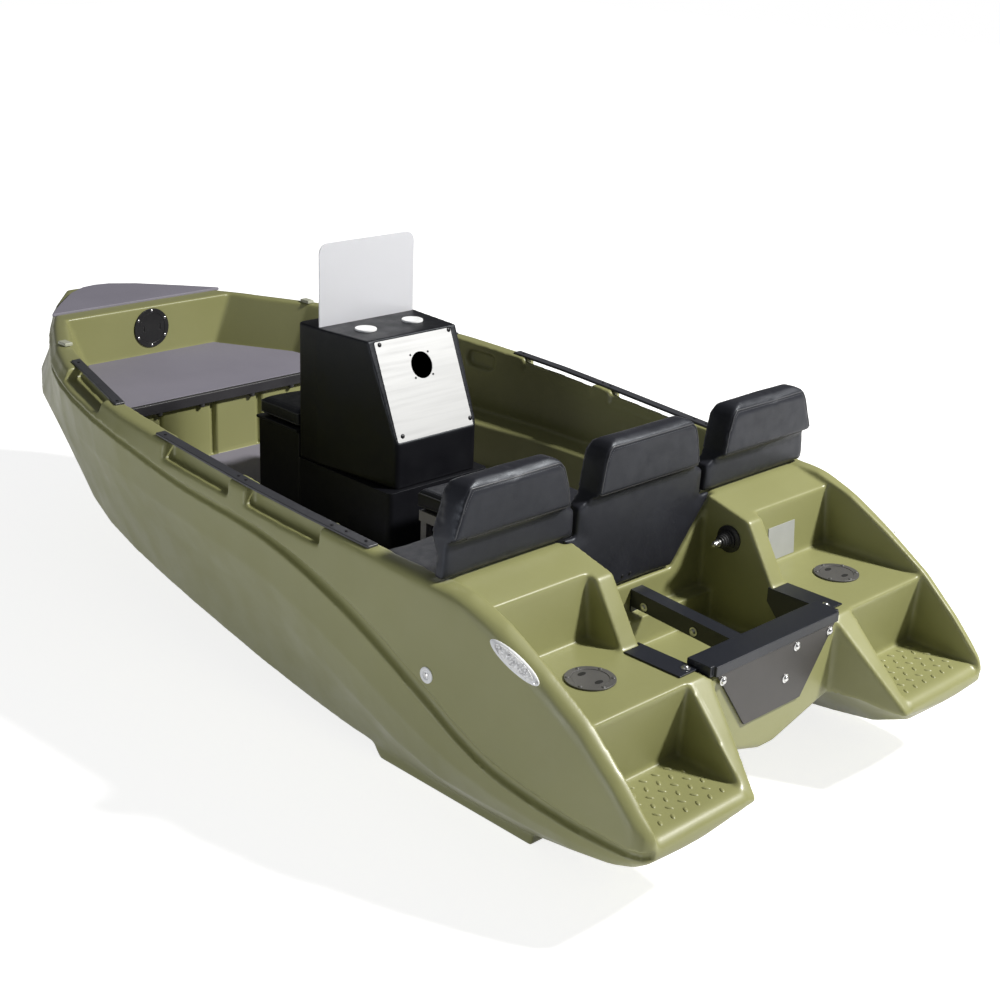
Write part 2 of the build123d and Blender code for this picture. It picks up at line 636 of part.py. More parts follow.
def console():
    base_z = FLOOR_Z + FLOOR_BOARD + SEAT_GAP
    half, wall = CONSOLE_HALF + 6, CONSOLE_WALL
    aft = CONSOLE_AFT - 22
    base = block(-half, half, aft, CONSOLE_FORE, base_z, CONSOLE_BASE_Z)
    base = fillet(base.edges().filter_by(Axis.Z), CONSOLE_EDGE)
    base -= block(wall - half, half - wall, aft + wall, CONSOLE_FORE - wall, 0, CONSOLE_BASE_Z - wall)
    save(base, "console_base")

    foot = CONSOLE_BASE_Z + SEAT_GAP
    body = console_shape(0, foot) - console_shape(CONSOLE_WALL, foot - 4)
    recess = Box(2 * DASH_PLATE_HALF + 2 * SEAT_GAP, DASH_PLATE_SIDE + 2 * SEAT_GAP, 2 * DASH_RECESS)
    body -= dash_plane() * recess
    body -= dash_plane() * Pos(HELM_X, HELM_UP, 0) * Cylinder(HELM_HOLE_R + 14, 60)
    half, slot = SCREEN_HALF + SEAT_GAP, SCREEN_THICK / 2 + SEAT_GAP
    body -= block(-half, half, SCREEN_Y - slot, SCREEN_Y + slot, SCREEN_FOOT_Z - 1, SCREEN_TOP_Z)
    save(body, "console_body")
    save(dash_plate(), "dash_plate")
    screen = block(-SCREEN_HALF, SCREEN_HALF, SCREEN_Y - SCREEN_THICK / 2, SCREEN_Y + SCREEN_THICK / 2,
                   SCREEN_FOOT_Z, SCREEN_TOP_Z)
    corners = screen.edges().filter_by(Axis.Y).group_by(Axis.Z)[-1]
    save(fillet(corners, SCREEN_CORNER), "windscreen")
    place = Pos(CAP_X, fs((DASH_TOP_Y + SCREEN_Y) / 2), CONSOLE_TOP_Z + SEAT_GAP + CAP_THICK / 2)
    save_pair(place * Cylinder(CAP_R, CAP_THICK), "console_cap")


def forward_locker():
    base_z = FLOOR_Z + FLOOR_BOARD + SEAT_GAP
    aft = CONSOLE_FORE + SEAT_GAP
    box = block(-LOCKER_HALF, LOCKER_HALF, aft, LOCKER_FORE, base_z, LOCKER_TOP_Z)
    wall = LOCKER_WALL
    box -= block(-LOCKER_HALF + wall, LOCKER_HALF - wall, aft + wall, LOCKER_FORE - wall,
                 base_z + wall, LOCKER_TOP_Z + 5)
    save(box, "forward_locker")
    half = LOCKER_HALF + LID_LAP
    aft, fore = CONSOLE_FORE + MOVE_GAP, LOCKER_FORE + LID_LAP
    lid_z = LOCKER_TOP_Z + SEAT_GAP
    save(block(-half, half, aft, fore, lid_z, lid_z + LID_THICK), "locker_lid")
    pad_z = lid_z + LID_THICK + SEAT_GAP
    save(cushion(-half, half, aft, fore, pad_z, pad_z + LID_CUSHION), "locker_lid_cushion")


# Outboard bracket: plates that clamp the transom, a beam along its top, an arm on
# each fin and a brace to the well's front wall
BRACKET = 8
PLATE_TOP_HALF = 312
PLATE_LOW_HALF = 150
PLATE_LOW_Z = 365
BEAM_TOP_Z = 626
BEAM_FORE = 361
FLANGE = 6
ARM_FORE = 560
FLANGE_FORE = 543
ARM_LOW_Z = 505
BRACE_HALF = 30
BRACE_TOP_Z = 600
BRACE_LOW_Z = 562
BRACE_DEPTH = 62


def transom_plate(y0, low_z):
    outline = both_halves([(PLATE_LOW_HALF, low_z), (PLATE_TOP_HALF, TRANSOM_TOP)])
    return along(outline, y0, y0 + BRACKET)


def bracket():
    inner = TRANSOM_AFT + TRANSOM_THICK + SEAT_GAP
    save(transom_plate(TRANSOM_AFT - BRACKET - SEAT_GAP, PLATE_LOW_Z), "transom_plate_aft")
    save(transom_plate(inner, WELL_FLOOR_Z + 10), "transom_plate_inner")
    wall = WELL_HALF - SEAT_GAP
    half = wall - BRACKET - SEAT_GAP
    low = TRANSOM_TOP + SEAT_GAP
    beam = block(-half, half, TRANSOM_AFT + SEAT_GAP, BEAM_FORE, low, BEAM_TOP_Z)
    beam += block(4 - SLOT_HALF, SLOT_HALF - 4, TRANSOM_AFT - BRACKET - 4, BEAM_FORE, low, BEAM_TOP_Z)
    save(beam, "cross_beam")
    top = STEP_Z + SEAT_GAP
    arm = across([(inner + 2, ARM_LOW_Z), (inner + 2, top + FLANGE), (ARM_FORE, top + FLANGE),
                  (ARM_FORE, top - 45), (ARM_FORE - 45, ARM_LOW_Z)], wall - BRACKET, wall)
    arm += block(wall - BRACKET, WELL_HALF + FIN - 2, inner + 2, FLANGE_FORE, top, top + FLANGE)
    save_pair(arm, "side_arm")

    aft, fore = inner + BRACKET + SEAT_GAP, BACK_Y - SEAT_GAP
    foot_z = WELL_LEDGE_Z + SEAT_GAP
    brace = across([(aft, BRACE_LOW_Z), (fore, BRACE_TOP_Z), (fore, BRACE_TOP_Z - FLANGE),
                    (aft, BRACE_LOW_Z - FLANGE)], -BRACE_HALF, BRACE_HALF)
    brace += across([(aft, BRACE_LOW_Z), (fore, BRACE_TOP_Z), (fore, BRACE_TOP_Z - BRACE_DEPTH),
                     (aft, BRACE_LOW_Z - BRACE_DEPTH)], -BRACE_HALF, FLANGE - BRACE_HALF)
    brace += block(-BRACE_HALF, BRACE_HALF, fore - FLANGE, fore, foot_z, BRACE_TOP_Z)
    save(brace, "centre_brace")


# Small fittings
BOOT_Y = BACK_Y - 118
BOOT_Z = 728
PLATE_X = (516, 672)
PLATE_Z = (612, 738)
EYE_X = 640
EYE_Y = ahead(0.652)


def riser(z):
    """Place from the stern, at height z, of the riser up to the stern deck."""
    share = (z - STEP_Z) / (DECK_AFT_Z - STEP_Z)
    return DECK_AFT - RISER_RAKE * (1 - share) - SEAT_GAP


def fittings():
    boot = Pos(WELL_HALF - SEAT_GAP - 4, fs(BOOT_Y), BOOT_Z) * Rot(0, 90, 0) * Cylinder(32, 8)
    boot += Pos(WELL_HALF - 22, fs(BOOT_Y), BOOT_Z) * Rot(0, 90, 0) * Cylinder(20, 30)
    boot += Pos(WELL_HALF - 50, fs(BOOT_Y), BOOT_Z) * Rot(0, 90, 0) * Cylinder(13, 30)
    save(boot, "cable_boot")
    low, high = PLATE_Z
    sign = across([(riser(low), low), (riser(high), high), (riser(high) - 2, high), (riser(low) - 2, low)],
                  *PLATE_X)
    save(sign, "blank_plate")
    save_pair(Pos(EYE_X, fs(EYE_Y), sheer(EYE_Y) + 8) * Box(36, 60, 14), "gunwale_fitting")


def main():
    save(hull(), "hull")
    for name in RAILS:
        save_pair(rail(name), name)
    hatches()
    decks()
    seats()
    seat_frames()
    console()
    forward_locker()
    bracket()
    fittings()


main()
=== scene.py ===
"""Visual model of the polyethylene boat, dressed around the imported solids."""
import json
import math
import bpy
import bmesh
from mathutils import Matrix, Vector
from mathutils.bvhtree import BVHTree

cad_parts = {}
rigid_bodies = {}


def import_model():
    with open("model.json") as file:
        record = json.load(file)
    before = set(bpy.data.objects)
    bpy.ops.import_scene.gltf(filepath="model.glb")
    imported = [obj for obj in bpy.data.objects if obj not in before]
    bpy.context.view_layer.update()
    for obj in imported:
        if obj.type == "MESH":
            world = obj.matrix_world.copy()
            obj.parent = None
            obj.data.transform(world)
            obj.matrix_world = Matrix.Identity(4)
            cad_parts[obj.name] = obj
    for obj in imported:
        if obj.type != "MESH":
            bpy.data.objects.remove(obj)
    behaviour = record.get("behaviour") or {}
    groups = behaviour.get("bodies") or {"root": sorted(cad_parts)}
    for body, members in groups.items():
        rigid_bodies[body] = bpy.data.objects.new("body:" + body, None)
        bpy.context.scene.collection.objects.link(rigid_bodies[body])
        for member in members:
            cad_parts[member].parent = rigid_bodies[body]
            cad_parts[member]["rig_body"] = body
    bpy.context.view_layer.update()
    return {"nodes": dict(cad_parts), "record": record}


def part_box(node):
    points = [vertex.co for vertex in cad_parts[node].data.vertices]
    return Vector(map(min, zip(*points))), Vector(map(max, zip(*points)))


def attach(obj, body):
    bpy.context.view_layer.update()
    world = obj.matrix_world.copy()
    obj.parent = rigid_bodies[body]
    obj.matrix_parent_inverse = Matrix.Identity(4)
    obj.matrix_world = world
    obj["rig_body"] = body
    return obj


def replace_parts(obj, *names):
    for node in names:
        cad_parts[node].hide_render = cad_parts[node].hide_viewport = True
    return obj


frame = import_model()
scene = bpy.context.scene
nodes = frame["nodes"]
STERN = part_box("hull")[0][1]
MM = 0.001
UP = Vector((0, 0, 1))
FORE = Vector((0, 1, 0))
AFT = Vector((0, -1, 0))


def place(x, from_stern, z):
    """Point of the boat from millimetres: to starboard, forward of the stern, up."""
    return Vector((x * MM, STERN + from_stern * MM, z * MM))


def corners(node):
    """Low and high corner of a node's box."""
    low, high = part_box(node)
    return Vector(low), Vector(high)


# Camera at the photograph's place: port astern, looking forward and down
CAMERA_AT = Vector((-4.0422, -4.7353, 2.8521))
CAMERA_YAW = math.radians(45.024)
CAMERA_PITCH = math.radians(20.451)
CAMERA_ROLL = math.radians(2.217)
FOCAL_PX = 1638.6
FRAME_PX = 1000
SENSOR = 36.0


def camera():
    look = Vector((math.sin(CAMERA_YAW) * math.cos(CAMERA_PITCH),
                   math.cos(CAMERA_YAW) * math.cos(CAMERA_PITCH), -math.sin(CAMERA_PITCH)))
    right = Vector((math.cos(CAMERA_YAW), -math.sin(CAMERA_YAW), 0))
    up = right.cross(look)
    roll_cos, roll_sin = math.cos(CAMERA_ROLL), math.sin(CAMERA_ROLL)
    right, up = roll_cos * right + roll_sin * up, roll_cos * up - roll_sin * right
    turn = Matrix((right, up, -look)).transposed().to_4x4()
    data = bpy.data.cameras.new("camera")
    data.sensor_fit = "HORIZONTAL"
    data.sensor_width = SENSOR
    data.lens = SENSOR * FOCAL_PX / FRAME_PX
    data.clip_end = 100
    obj = bpy.data.objects.new("camera", data)
    obj.matrix_world = Matrix.Translation(CAMERA_AT) @ turn
    scene.collection.objects.link(obj)
    scene.camera = obj


# Materials


class Paint:
    """A node material under construction: a Principled shader and helpers that feed it."""

    def __init__(self, name, color, roughness, metallic=0.0, **sockets):
        self.mat = bpy.data.materials.new(name)
        self.mat.use_nodes = True
        self.tree = self.mat.node_tree
        self.bsdf = self.tree.nodes["Principled BSDF"]
        self.bsdf.inputs["Base Color"].default_value = (*color, 1)
        self.bsdf.inputs["Roughness"].default_value = roughness
        self.bsdf.inputs["Metallic"].default_value = metallic
        for key, value in sockets.items():
            self.bsdf.inputs[key.replace("_", " ")].default_value = value
        self.color = color
        self.coords = self.tree.nodes.new("ShaderNodeTexCoord").outputs["Object"]
        self.tone = None
        self.normal = None

    def texture(self, kind, scale, stretch):
        mapping = self.tree.nodes.new("ShaderNodeMapping")
        mapping.inputs["Scale"].default_value = stretch
        self.tree.links.new(self.coords, mapping.inputs["Vector"])
        node = self.tree.nodes.new(kind)
        node.inputs["Scale"].default_value = scale
        self.tree.links.new(mapping.outputs["Vector"], node.inputs["Vector"])
        return node

    def noise(self, scale, detail=4, stretch=(1, 1, 1)):
        node = self.texture("ShaderNodeTexNoise", scale, stretch)
        node.inputs["Detail"].default_value = detail
        return node.outputs["Fac"]

    def cells(self, scale, feature="F1", stretch=(1, 1, 1)):
        node = self.texture("ShaderNodeTexVoronoi", scale, stretch)
        node.feature = feature
        return node.outputs["Distance"]

    def ramp(self, value, low, high, start=0.0, end=1.0):
        """Number that goes from low to high as value goes from start to end."""
        node = self.tree.nodes.new("ShaderNodeMapRange")
        node.inputs["From Min"].default_value = start
        node.inputs["From Max"].default_value = end
        node.inputs["To Min"].default_value = low
        node.inputs["To Max"].default_value = high
        self.tree.links.new(value, node.inputs["Value"])
        return node.outputs["Result"]

    def mix(self, share, other):
        """Lays another colour over the base colour, as much as share says."""
        node = self.tree.nodes.new("ShaderNodeMix")
        node.data_type = "RGBA"
        node.inputs["A"].default_value = (*self.color, 1)
        node.inputs["B"].default_value = (*other, 1)
        if self.tone:
            self.tree.links.new(self.tone, node.inputs["A"])
        self.tree.links.new(share, node.inputs["Factor"])
        self.tone = node.outputs["Result"]
        self.tree.links.new(self.tone, self.bsdf.inputs["Base Color"])

    def mottle(self, scale, spread, detail=5, stretch=(1, 1, 1)):
        """Base colour that wanders a little lighter and darker than the paint's own."""
        value = self.noise(scale, detail, stretch)
        self.mix(self.ramp(value, 1, 0, 0.3, 0.5), tuple(c * (1 - spread) for c in self.color))
        self.mix(self.ramp(value, 0, 1, 0.5, 0.7), tuple(min(1, c * (1 + spread)) for c in self.color))

    def edges(self, color, share, start=0.53, end=0.62):
        """Lighter edges: partly rubbed wear, partly a painted highlight standing in for the sheen that
        light puts on rounded edges.
        """
        node = self.tree.nodes.new("ShaderNodeNewGeometry")
        self.mix(self.ramp(node.outputs["Pointiness"], 0, share, start, end), color)

    def specks(self, scale, color, share, size=0.12):
        """Scattered small marks."""
        self.mix(self.ramp(self.cells(scale), share, 0, size * 0.5, size), color)

    def rough(self, scale, low, high, stretch=(1, 1, 1)):
        value = self.ramp(self.noise(scale, 5, stretch), low, high, 0.35, 0.65)
        self.tree.links.new(value, self.bsdf.inputs["Roughness"])

    def bump(self, height, distance, strength=1.0):
        node = self.tree.nodes.new("ShaderNodeBump")
        node.inputs["Strength"].default_value = strength
        node.inputs["Distance"].default_value = distance
        self.tree.links.new(height, node.inputs["Height"])
        if self.normal:
            self.tree.links.new(self.normal, node.inputs["Normal"])
        self.normal = node.outputs["Normal"]
        self.tree.links.new(self.normal, self.bsdf.inputs["Normal"])


COOL = (0.86, 0.92, 1, 1)


def hull_paint():
    p = Paint("olive_polyethylene", (0.25, 0.252, 0.108), 0.38, Specular_IOR_Level=0.5)
    p.mottle(1.7, 0.05)
    p.mix(p.ramp(p.noise(28, 4), 0, 0.05, 0.55, 0.75), (0.33, 0.33, 0.2))
    # Paler edges: partly wear, partly a painted highlight for the sheen on rounded edges.
    p.edges((0.38, 0.385, 0.22), 0.35)
    p.rough(6, 0.33, 0.44)
    p.bump(p.noise(260, 3), 0.0005, 0.4)
    p.bump(p.noise(9, 2), 0.002, 0.25)
    return p.mat


def moulded(name, color, roughness, grain=420, edge=0.3):
    """Moulded black or grey plastic with a fine grain and paler edges, the paler edges partly wear and
    partly a painted highlight.
    """
    p = Paint(name, color, roughness, Specular_IOR_Level=0.5)
    p.mottle(5, 0.12)
    # Paler edges: partly wear, partly a painted highlight for the sheen on rounded edges.
    p.edges(tuple(0.6 * c + 0.06 for c in color), edge)
    p.rough(14, roughness - 0.06, roughness + 0.08)
    p.bump(p.noise(grain, 3), 0.0005, 0.5)
    return p.mat


def pad_paint():
    p = Paint("mauve_deck_foam", (0.225, 0.215, 0.26), 0.85, Specular_IOR_Level=0.25)
    p.mottle(3, 0.05)
    p.specks(180, (0.16, 0.155, 0.19), 0.5)
    p.bump(p.noise(900, 4), 0.0006, 0.7)
    p.bump(p.cells(160), 0.0008, 0.5)
    return p.mat


def vinyl_paint():
    p = Paint("dark_marine_vinyl", (0.0175, 0.0182, 0.0235), 0.42, Specular_IOR_Level=0.3,
              Specular_Tint=COOL)
    p.mottle(7, 0.12)
    # Paler edges: partly wear, partly a painted highlight for the sheen on the vinyl's rounded edges.
    p.edges((0.06, 0.062, 0.075), 0.3)
    p.rough(24, 0.34, 0.47)
    p.bump(p.cells(480, "DISTANCE_TO_EDGE"), 0.0006, 0.45)
    p.bump(p.noise(30, 3), 0.0016, 0.3)
    return p.mat


def brushed(name, color, roughness, stretch, streak=0.02):
    p = Paint(name, color, roughness, 0.7)
    p.mottle(70, streak, stretch=stretch)
    p.rough(80, roughness - 0.05, roughness + 0.06, stretch)
    p.bump(p.noise(220, 3, stretch), 0.0001, 0.2)
    return p.mat


def plain(name, color, roughness, metallic=0.0, grain=300, spread=0.05, **sockets):
    p = Paint(name, color, roughness, metallic, **sockets)
    p.mottle(12, spread)
    p.bump(p.noise(grain, 3), 0.0003, 0.4)
    return p.mat


def screen_paint():
    p = Paint("frosted_acrylic", (0.74, 0.75, 0.79), 0.32, Transmission_Weight=0.32, IOR=1.49)
    p.bump(p.noise(3, 2), 0.002, 0.1)
    return p.mat


def console_paint():
    p = Paint("console_black", (0.005, 0.005, 0.0068), 0.38, Specular_IOR_Level=0.3, Specular_Tint=COOL)
    p.mottle(5, 0.15)
    # Paler edges: partly wear, partly a painted highlight standing in for light catching the console's
    # rounded edges.
    p.edges((0.06, 0.061, 0.07), 0.6)
    p.rough(12, 0.36, 0.5)
    p.specks(70, (0.014, 0.014, 0.016), 0.3, 0.06)
    p.bump(p.noise(420, 3), 0.0006, 0.5)
    return p.mat


SLOT_PAINTS = {
    "hull_polyethylene": hull_paint(),
    "rail_black": moulded("rail_black", (0.033, 0.034, 0.04), 0.36),
    "deck_pad": pad_paint(),
    "beam_black": moulded("beam_black", (0.03, 0.029, 0.034), 0.45),
    "hatch_black": moulded("hatch_black", (0.013, 0.013, 0.014), 0.42),
    "hatch_grey": moulded("hatch_grey", (0.085, 0.083, 0.082), 0.4),
    "seat_vinyl": vinyl_paint(),
    # Darker base colour than bare aluminium: painted shade for the seat frames, which stand in shadow under
    # the seats.
    "seat_aluminium": brushed("seat_aluminium", (0.3, 0.3, 0.31), 0.4, (1, 1, 6)),
    "console_black": console_paint(),
    "dash_aluminium": brushed("dash_aluminium", (0.46, 0.465, 0.47), 0.6, (0.04, 1, 1), 0.012),
    "windscreen_clear": screen_paint(),
    "cap_white": plain("cap_white", (0.85, 0.86, 0.87), 0.35),
    "bracket_grey": plain("bracket_grey", (0.048, 0.0445, 0.043), 0.42, 0.2),
    "bracket_black": plain("bracket_black", (0.015, 0.017, 0.024), 0.36, 0.1),
    "boot_rubber": plain("boot_rubber", (0.014, 0.014, 0.015), 0.5),
    "plate_white": plain("plate_white", (0.36, 0.37, 0.36), 0.5),
}
STEEL = plain("stainless_steel", (0.62, 0.62, 0.62), 0.28, 1.0)
BLACK_STEEL = plain("black_screws", (0.03, 0.03, 0.033), 0.35, 0.6)
PIPING = plain("vinyl_piping", (0.05, 0.052, 0.06), 0.38)
THREAD = plain("seam_thread", (0.1, 0.103, 0.115), 0.6)
LENS = Paint("lamp_lens", (0.85, 0.85, 0.84), 0.14)
LENS.mix(LENS.ramp(LENS.noise(55, 2), 0, 0.55, 0.53, 0.6), (0.2, 0.19, 0.2))
LENS.bump(LENS.cells(130), 0.002, 0.8)
FITTING = plain("fitting_pale", (0.42, 0.43, 0.34), 0.42)
# Near black: painted shade on the floors of the stern lids' finger recesses, and the dark line along the
# backs' seams.
RECESS_SHADE_AND_SEAM_BLACK = plain("recess_shade_and_seam_black", (0.008, 0.008, 0.008), 0.7)
SLOTS = {row["node"]: row["material_slot"] for row in frame["record"]["subparts"]}


def applied(obj):
    """The object's mesh with its modifiers applied, as a new mesh."""
    bpy.context.view_layer.update()
    graph = bpy.context.evaluated_depsgraph_get()
    return bpy.data.meshes.new_from_object(obj.evaluated_get(graph), depsgraph=graph)


def settle(obj):
    """Replaces an object's mesh by what its modifiers make of it."""
    obj.data = applied(obj)
    obj.modifiers.clear()


def piece(name, mesh, slot, paint=None, body="root"):
    """Adds a mesh to the scene as a piece with a paint (the slot's own paint when none is given) and a
    body.
    """
    obj = bpy.data.objects.new(name, mesh)
    scene.collection.objects.link(obj)
    mesh.materials.clear()
    mesh.materials.append(paint or SLOT_PAINTS[slot])
    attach(obj, body)
    return obj


def bmesh_piece(name, bm, slot, paint=None, body="root", sharp=40):
    mesh = bpy.data.meshes.new(name)
    bmesh.ops.recalc_face_normals(bm, faces=bm.faces)
    bm.to_mesh(mesh)
    bm.free()
    mesh.shade_smooth()
    mesh.set_sharp_from_angle(angle=math.radians(sharp))
    return piece(name, mesh, slot, paint, body)


# Rigid pieces: the frame's own solids with their edges broken. Columns: width, nodes.
BEVELS = [
    (0.0035, ["handrail_aft_port", "handrail_aft_starboard",
              "handrail_fore_port", "handrail_fore_starboard"]),
    (0.004, ["bow_deck_pad", "casting_platform", "floor_board", "platform_beam"]),
    (0.0015, ["bow_hatch_ring", "bow_hatch_lid", "stern_hatch_ring_port",
              "stern_hatch_ring_starboard", "stern_hatch_lid_port", "stern_hatch_lid_starboard"]),
    (0.004, ["seat_frame_port", "seat_frame_middle", "seat_frame_starboard"]),
    (0.0006, ["dash_plate", "blank_plate"]),
    (0.0015, ["windscreen", "transom_plate_aft", "transom_plate_inner", "side_arm_port",
              "side_arm_starboard", "centre_brace", "console_cap_port", "console_cap_starboard"]),
    (0.003, ["cross_beam", "gunwale_fitting_port", "gunwale_fitting_starboard"]),
    (0.012, ["console_base", "forward_locker"]),
    (0.004, ["locker_lid"]),
]
SHARP = math.radians(35)
FLAT = math.radians(0.5)
SAME_POINT = 1e-5
# Lids turned a quarter, so that their finger recesses lie fore and aft
TURNED_LIDS = ("stern_hatch_lid_port", "stern_hatch_lid_starboard")


def refine(node, width):
    """A node's form with its flat faces made whole and its sharp edges rounded."""
    bm = bmesh.new()
    bm.from_mesh(nodes[node].data)
    bmesh.ops.remove_doubles(bm, verts=bm.verts, dist=SAME_POINT)
    if node in TURNED_LIDS:
        low, high = corners(node)
        quarter = Matrix.Rotation(math.pi / 2, 3, "Z")
        bmesh.ops.rotate(bm, verts=bm.verts, cent=(low + high) / 2, matrix=quarter)
    bmesh.ops.dissolve_limit(bm, angle_limit=FLAT, verts=bm.verts, edges=bm.edges)
    mesh = bpy.data.meshes.new(node + "_form")
    bm.to_mesh(mesh)
    bm.free()
    paint = FITTING if node.startswith("gunwale_fitting") else None
    obj = piece(node + "_form", mesh, SLOTS[node], paint, nodes[node]["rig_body"])
    bevel = obj.modifiers.new("edges", "BEVEL")
    bevel.width = width
    bevel.segments = 3
    bevel.limit_method = "ANGLE"
    bevel.angle_limit = SHARP
    settle(obj)
    obj.data.shade_smooth()
    obj.data.set_sharp_from_angle(angle=SHARP)
    even = obj.modifiers.new("even", "WEIGHTED_NORMAL")
    even.weight = 100
    even.keep_sharp = True
    settle(obj)
    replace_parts(obj, node)


# Moulded skins. Columns: node, voxel, smoothing steps, most triangles.
SKINS = [("hull", 0.0068, 13, 190000), ("console_body", 0.0045, 5, 70000)]

# The groove along each outer side, pressed deeper than its rounded skin leaves it.
# Columns: from the stern, half width of the hull, height, width.
GROOVE = [
    (-20, 905, 307, 16), (60, 932, 303, 20), (135, 936, 302, 24), (270, 940, 303, 32),
    (440, 946, 320, 40), (615, 952, 352, 48), (765, 955, 408, 56), (915, 958, 486, 60),
    (1315, 966, 665, 50), (1715, 970, 770, 28), (2216, 970, 813, 18), (2662, 955, 871, 17),
    (3107, 877, 903, 16), (3511, 730, 915, 16), (3859, 538, 930, 16), (4166, 340, 938, 16),
    (4340, 195, 942, 14),
]
GROOVE_PRESS = 0.02
GROOVE_SHARE = 0.6
GROOVE_LIP = 0.006
GROOVE_REACH = 0.05
SIDEWAYS = 0.3


def between(rows, where, column):
    """Smooth value of a column at a place along a table whose first column rises."""
    if not rows[0][0] <= where < rows[-1][0]:
        return None
    k = next(i for i in range(len(rows) - 1) if where < rows[i + 1][0])
    low, high = rows[k], rows[k + 1]
    before, after = rows[max(k - 1, 0)], rows[min(k + 2, len(rows) - 1)]
    run = high[0] - low[0]
    rise_low = run * (high[column] - before[column]) / (high[0] - before[0])
    rise_high = run * (after[column] - low[column]) / (after[0] - low[0])
    t = (where - low[0]) / run
    return ((2 * t ** 3 - 3 * t ** 2 + 1) * low[column] + (t ** 3 - 2 * t ** 2 + t) * rise_low
            + (3 * t ** 2 - 2 * t ** 3) * high[column] + (t ** 3 - t ** 2) * rise_high)


def press_groove(mesh):
    """Presses the groove of the outer sides into the skin."""
    normals = [v.normal.copy() for v in mesh.vertices]
    for v, normal in zip(mesh.vertices, normals):
        from_stern = (v.co.y - STERN) / MM
        half = between(GROOVE, from_stern, 1)
        if half is None or abs(v.co.x) < half * MM - GROOVE_REACH:
            continue
        if normal.x * v.co.x <= SIDEWAYS * abs(v.co.x):
            continue
        width = between(GROOVE, from_stern, 3) * MM
        off = abs(v.co.z - between(GROOVE, from_stern, 2) * MM) / (width / 2 + GROOVE_LIP)
        if off < 1:
            v.co -= normal * min(GROOVE_PRESS, GROOVE_SHARE * width) * (1 - off ** 4) ** 1.5


# Crown of the outer rim along the stern quarters, a broad half round.
# Columns: from the stern, half width, height, depth of the outer rounding.
RIM = [
    (-30, 870, 330, 40), (0, 887, 350, 50), (20, 910, 380, 60), (60, 924, 422, 75),
    (135, 929, 499, 85), (270, 933, 617, 90), (440, 940, 722, 85), (615, 946, 815, 65),
    (765, 950, 862, 40), (915, 953, 867, 12),
]
RIM_CROWN = 884
RIM_INSIDE = 864
RIM_INNER_DEPTH = 0.022
RIM_LEAST_REACH = 10
RIM_OUT = 1.3
RIM_ABOVE = 1.6


def round_rim(mesh):
    """Rounds both edges of the rim of the stern quarters onto one crown."""
    for v in mesh.vertices:
        from_stern = (v.co.y - STERN) / MM
        half = between(RIM, from_stern, 1)
        if half is None:
            continue
        out = abs(v.co.x) - RIM_CROWN * MM
        if out > 0:
            reach = max(half - RIM_CROWN, RIM_LEAST_REACH) * MM
            depth = between(RIM, from_stern, 3) * MM
        else:
            reach, depth = (RIM_CROWN - RIM_INSIDE) * MM, RIM_INNER_DEPTH
        out /= reach
        above = (v.co.z - between(RIM, from_stern, 2) * MM) / depth + 1
        if abs(out) < RIM_OUT and 0 < above < RIM_ABOVE and math.hypot(out, above) > 1:
            share = 1 / math.hypot(out, above)
            v.co.x = math.copysign(RIM_CROWN * MM + reach * out * share, v.co.x)
            v.co.z += depth * above * (share - 1)


# Upright grooves in the bulkhead under the casting platform
BULKHEAD_GROOVES = (-388, -122, 122, 388)
BULKHEAD_FROM = 3150
BULKHEAD_TO = 3260
BULKHEAD_LOW = 0.25
BULKHEAD_HIGH = 0.75
BULKHEAD_FACES_AFT = -0.6
BULKHEAD_GROOVE_DEPTH = 0.02
BULKHEAD_GROOVE_HALF = 0.015


def press_bulkhead(mesh):
    """Presses the upright grooves into the face of the bulkhead."""
    normals = [v.normal.copy() for v in mesh.vertices]
    for v, normal in zip(mesh.vertices, normals):
        if not BULKHEAD_FROM < (v.co.y - STERN) / MM < BULKHEAD_TO:
            continue
        if normal.y > BULKHEAD_FACES_AFT:
            continue
        off = min(abs(v.co.x - x * MM) for x in BULKHEAD_GROOVES) / BULKHEAD_GROOVE_HALF
        if off < 1 and BULKHEAD_LOW < v.co.z < BULKHEAD_HIGH:
            v.co.y += BULKHEAD_GROOVE_DEPTH * (1 - off ** 4)


def soften(node, voxel, smooth, triangles):
    """A moulded skin for a node: one closed surface whose edges are rounded."""
    obj = piece(node + "_skin", nodes[node].data.copy(), SLOTS[node], body=nodes[node]["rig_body"])
    remesh = obj.modifiers.new("remesh", "REMESH")
    remesh.mode = "VOXEL"
    remesh.voxel_size = voxel
    settle(obj)
    if node == "hull":
        round_rim(obj.data)
    soft = obj.modifiers.new("soft", "SMOOTH")
    soft.factor = 0.5
    soft.iterations = smooth
    settle(obj)
    if node == "hull":
        press_groove(obj.data)
        press_bulkhead(obj.data)
    count = 2 * len(obj.data.polygons)
    if count > triangles:
        thin = obj.modifiers.new("thin", "DECIMATE")
        thin.ratio = triangles / count
        settle(obj)
    obj.data.shade_smooth()
    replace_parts(obj, node)
    return obj


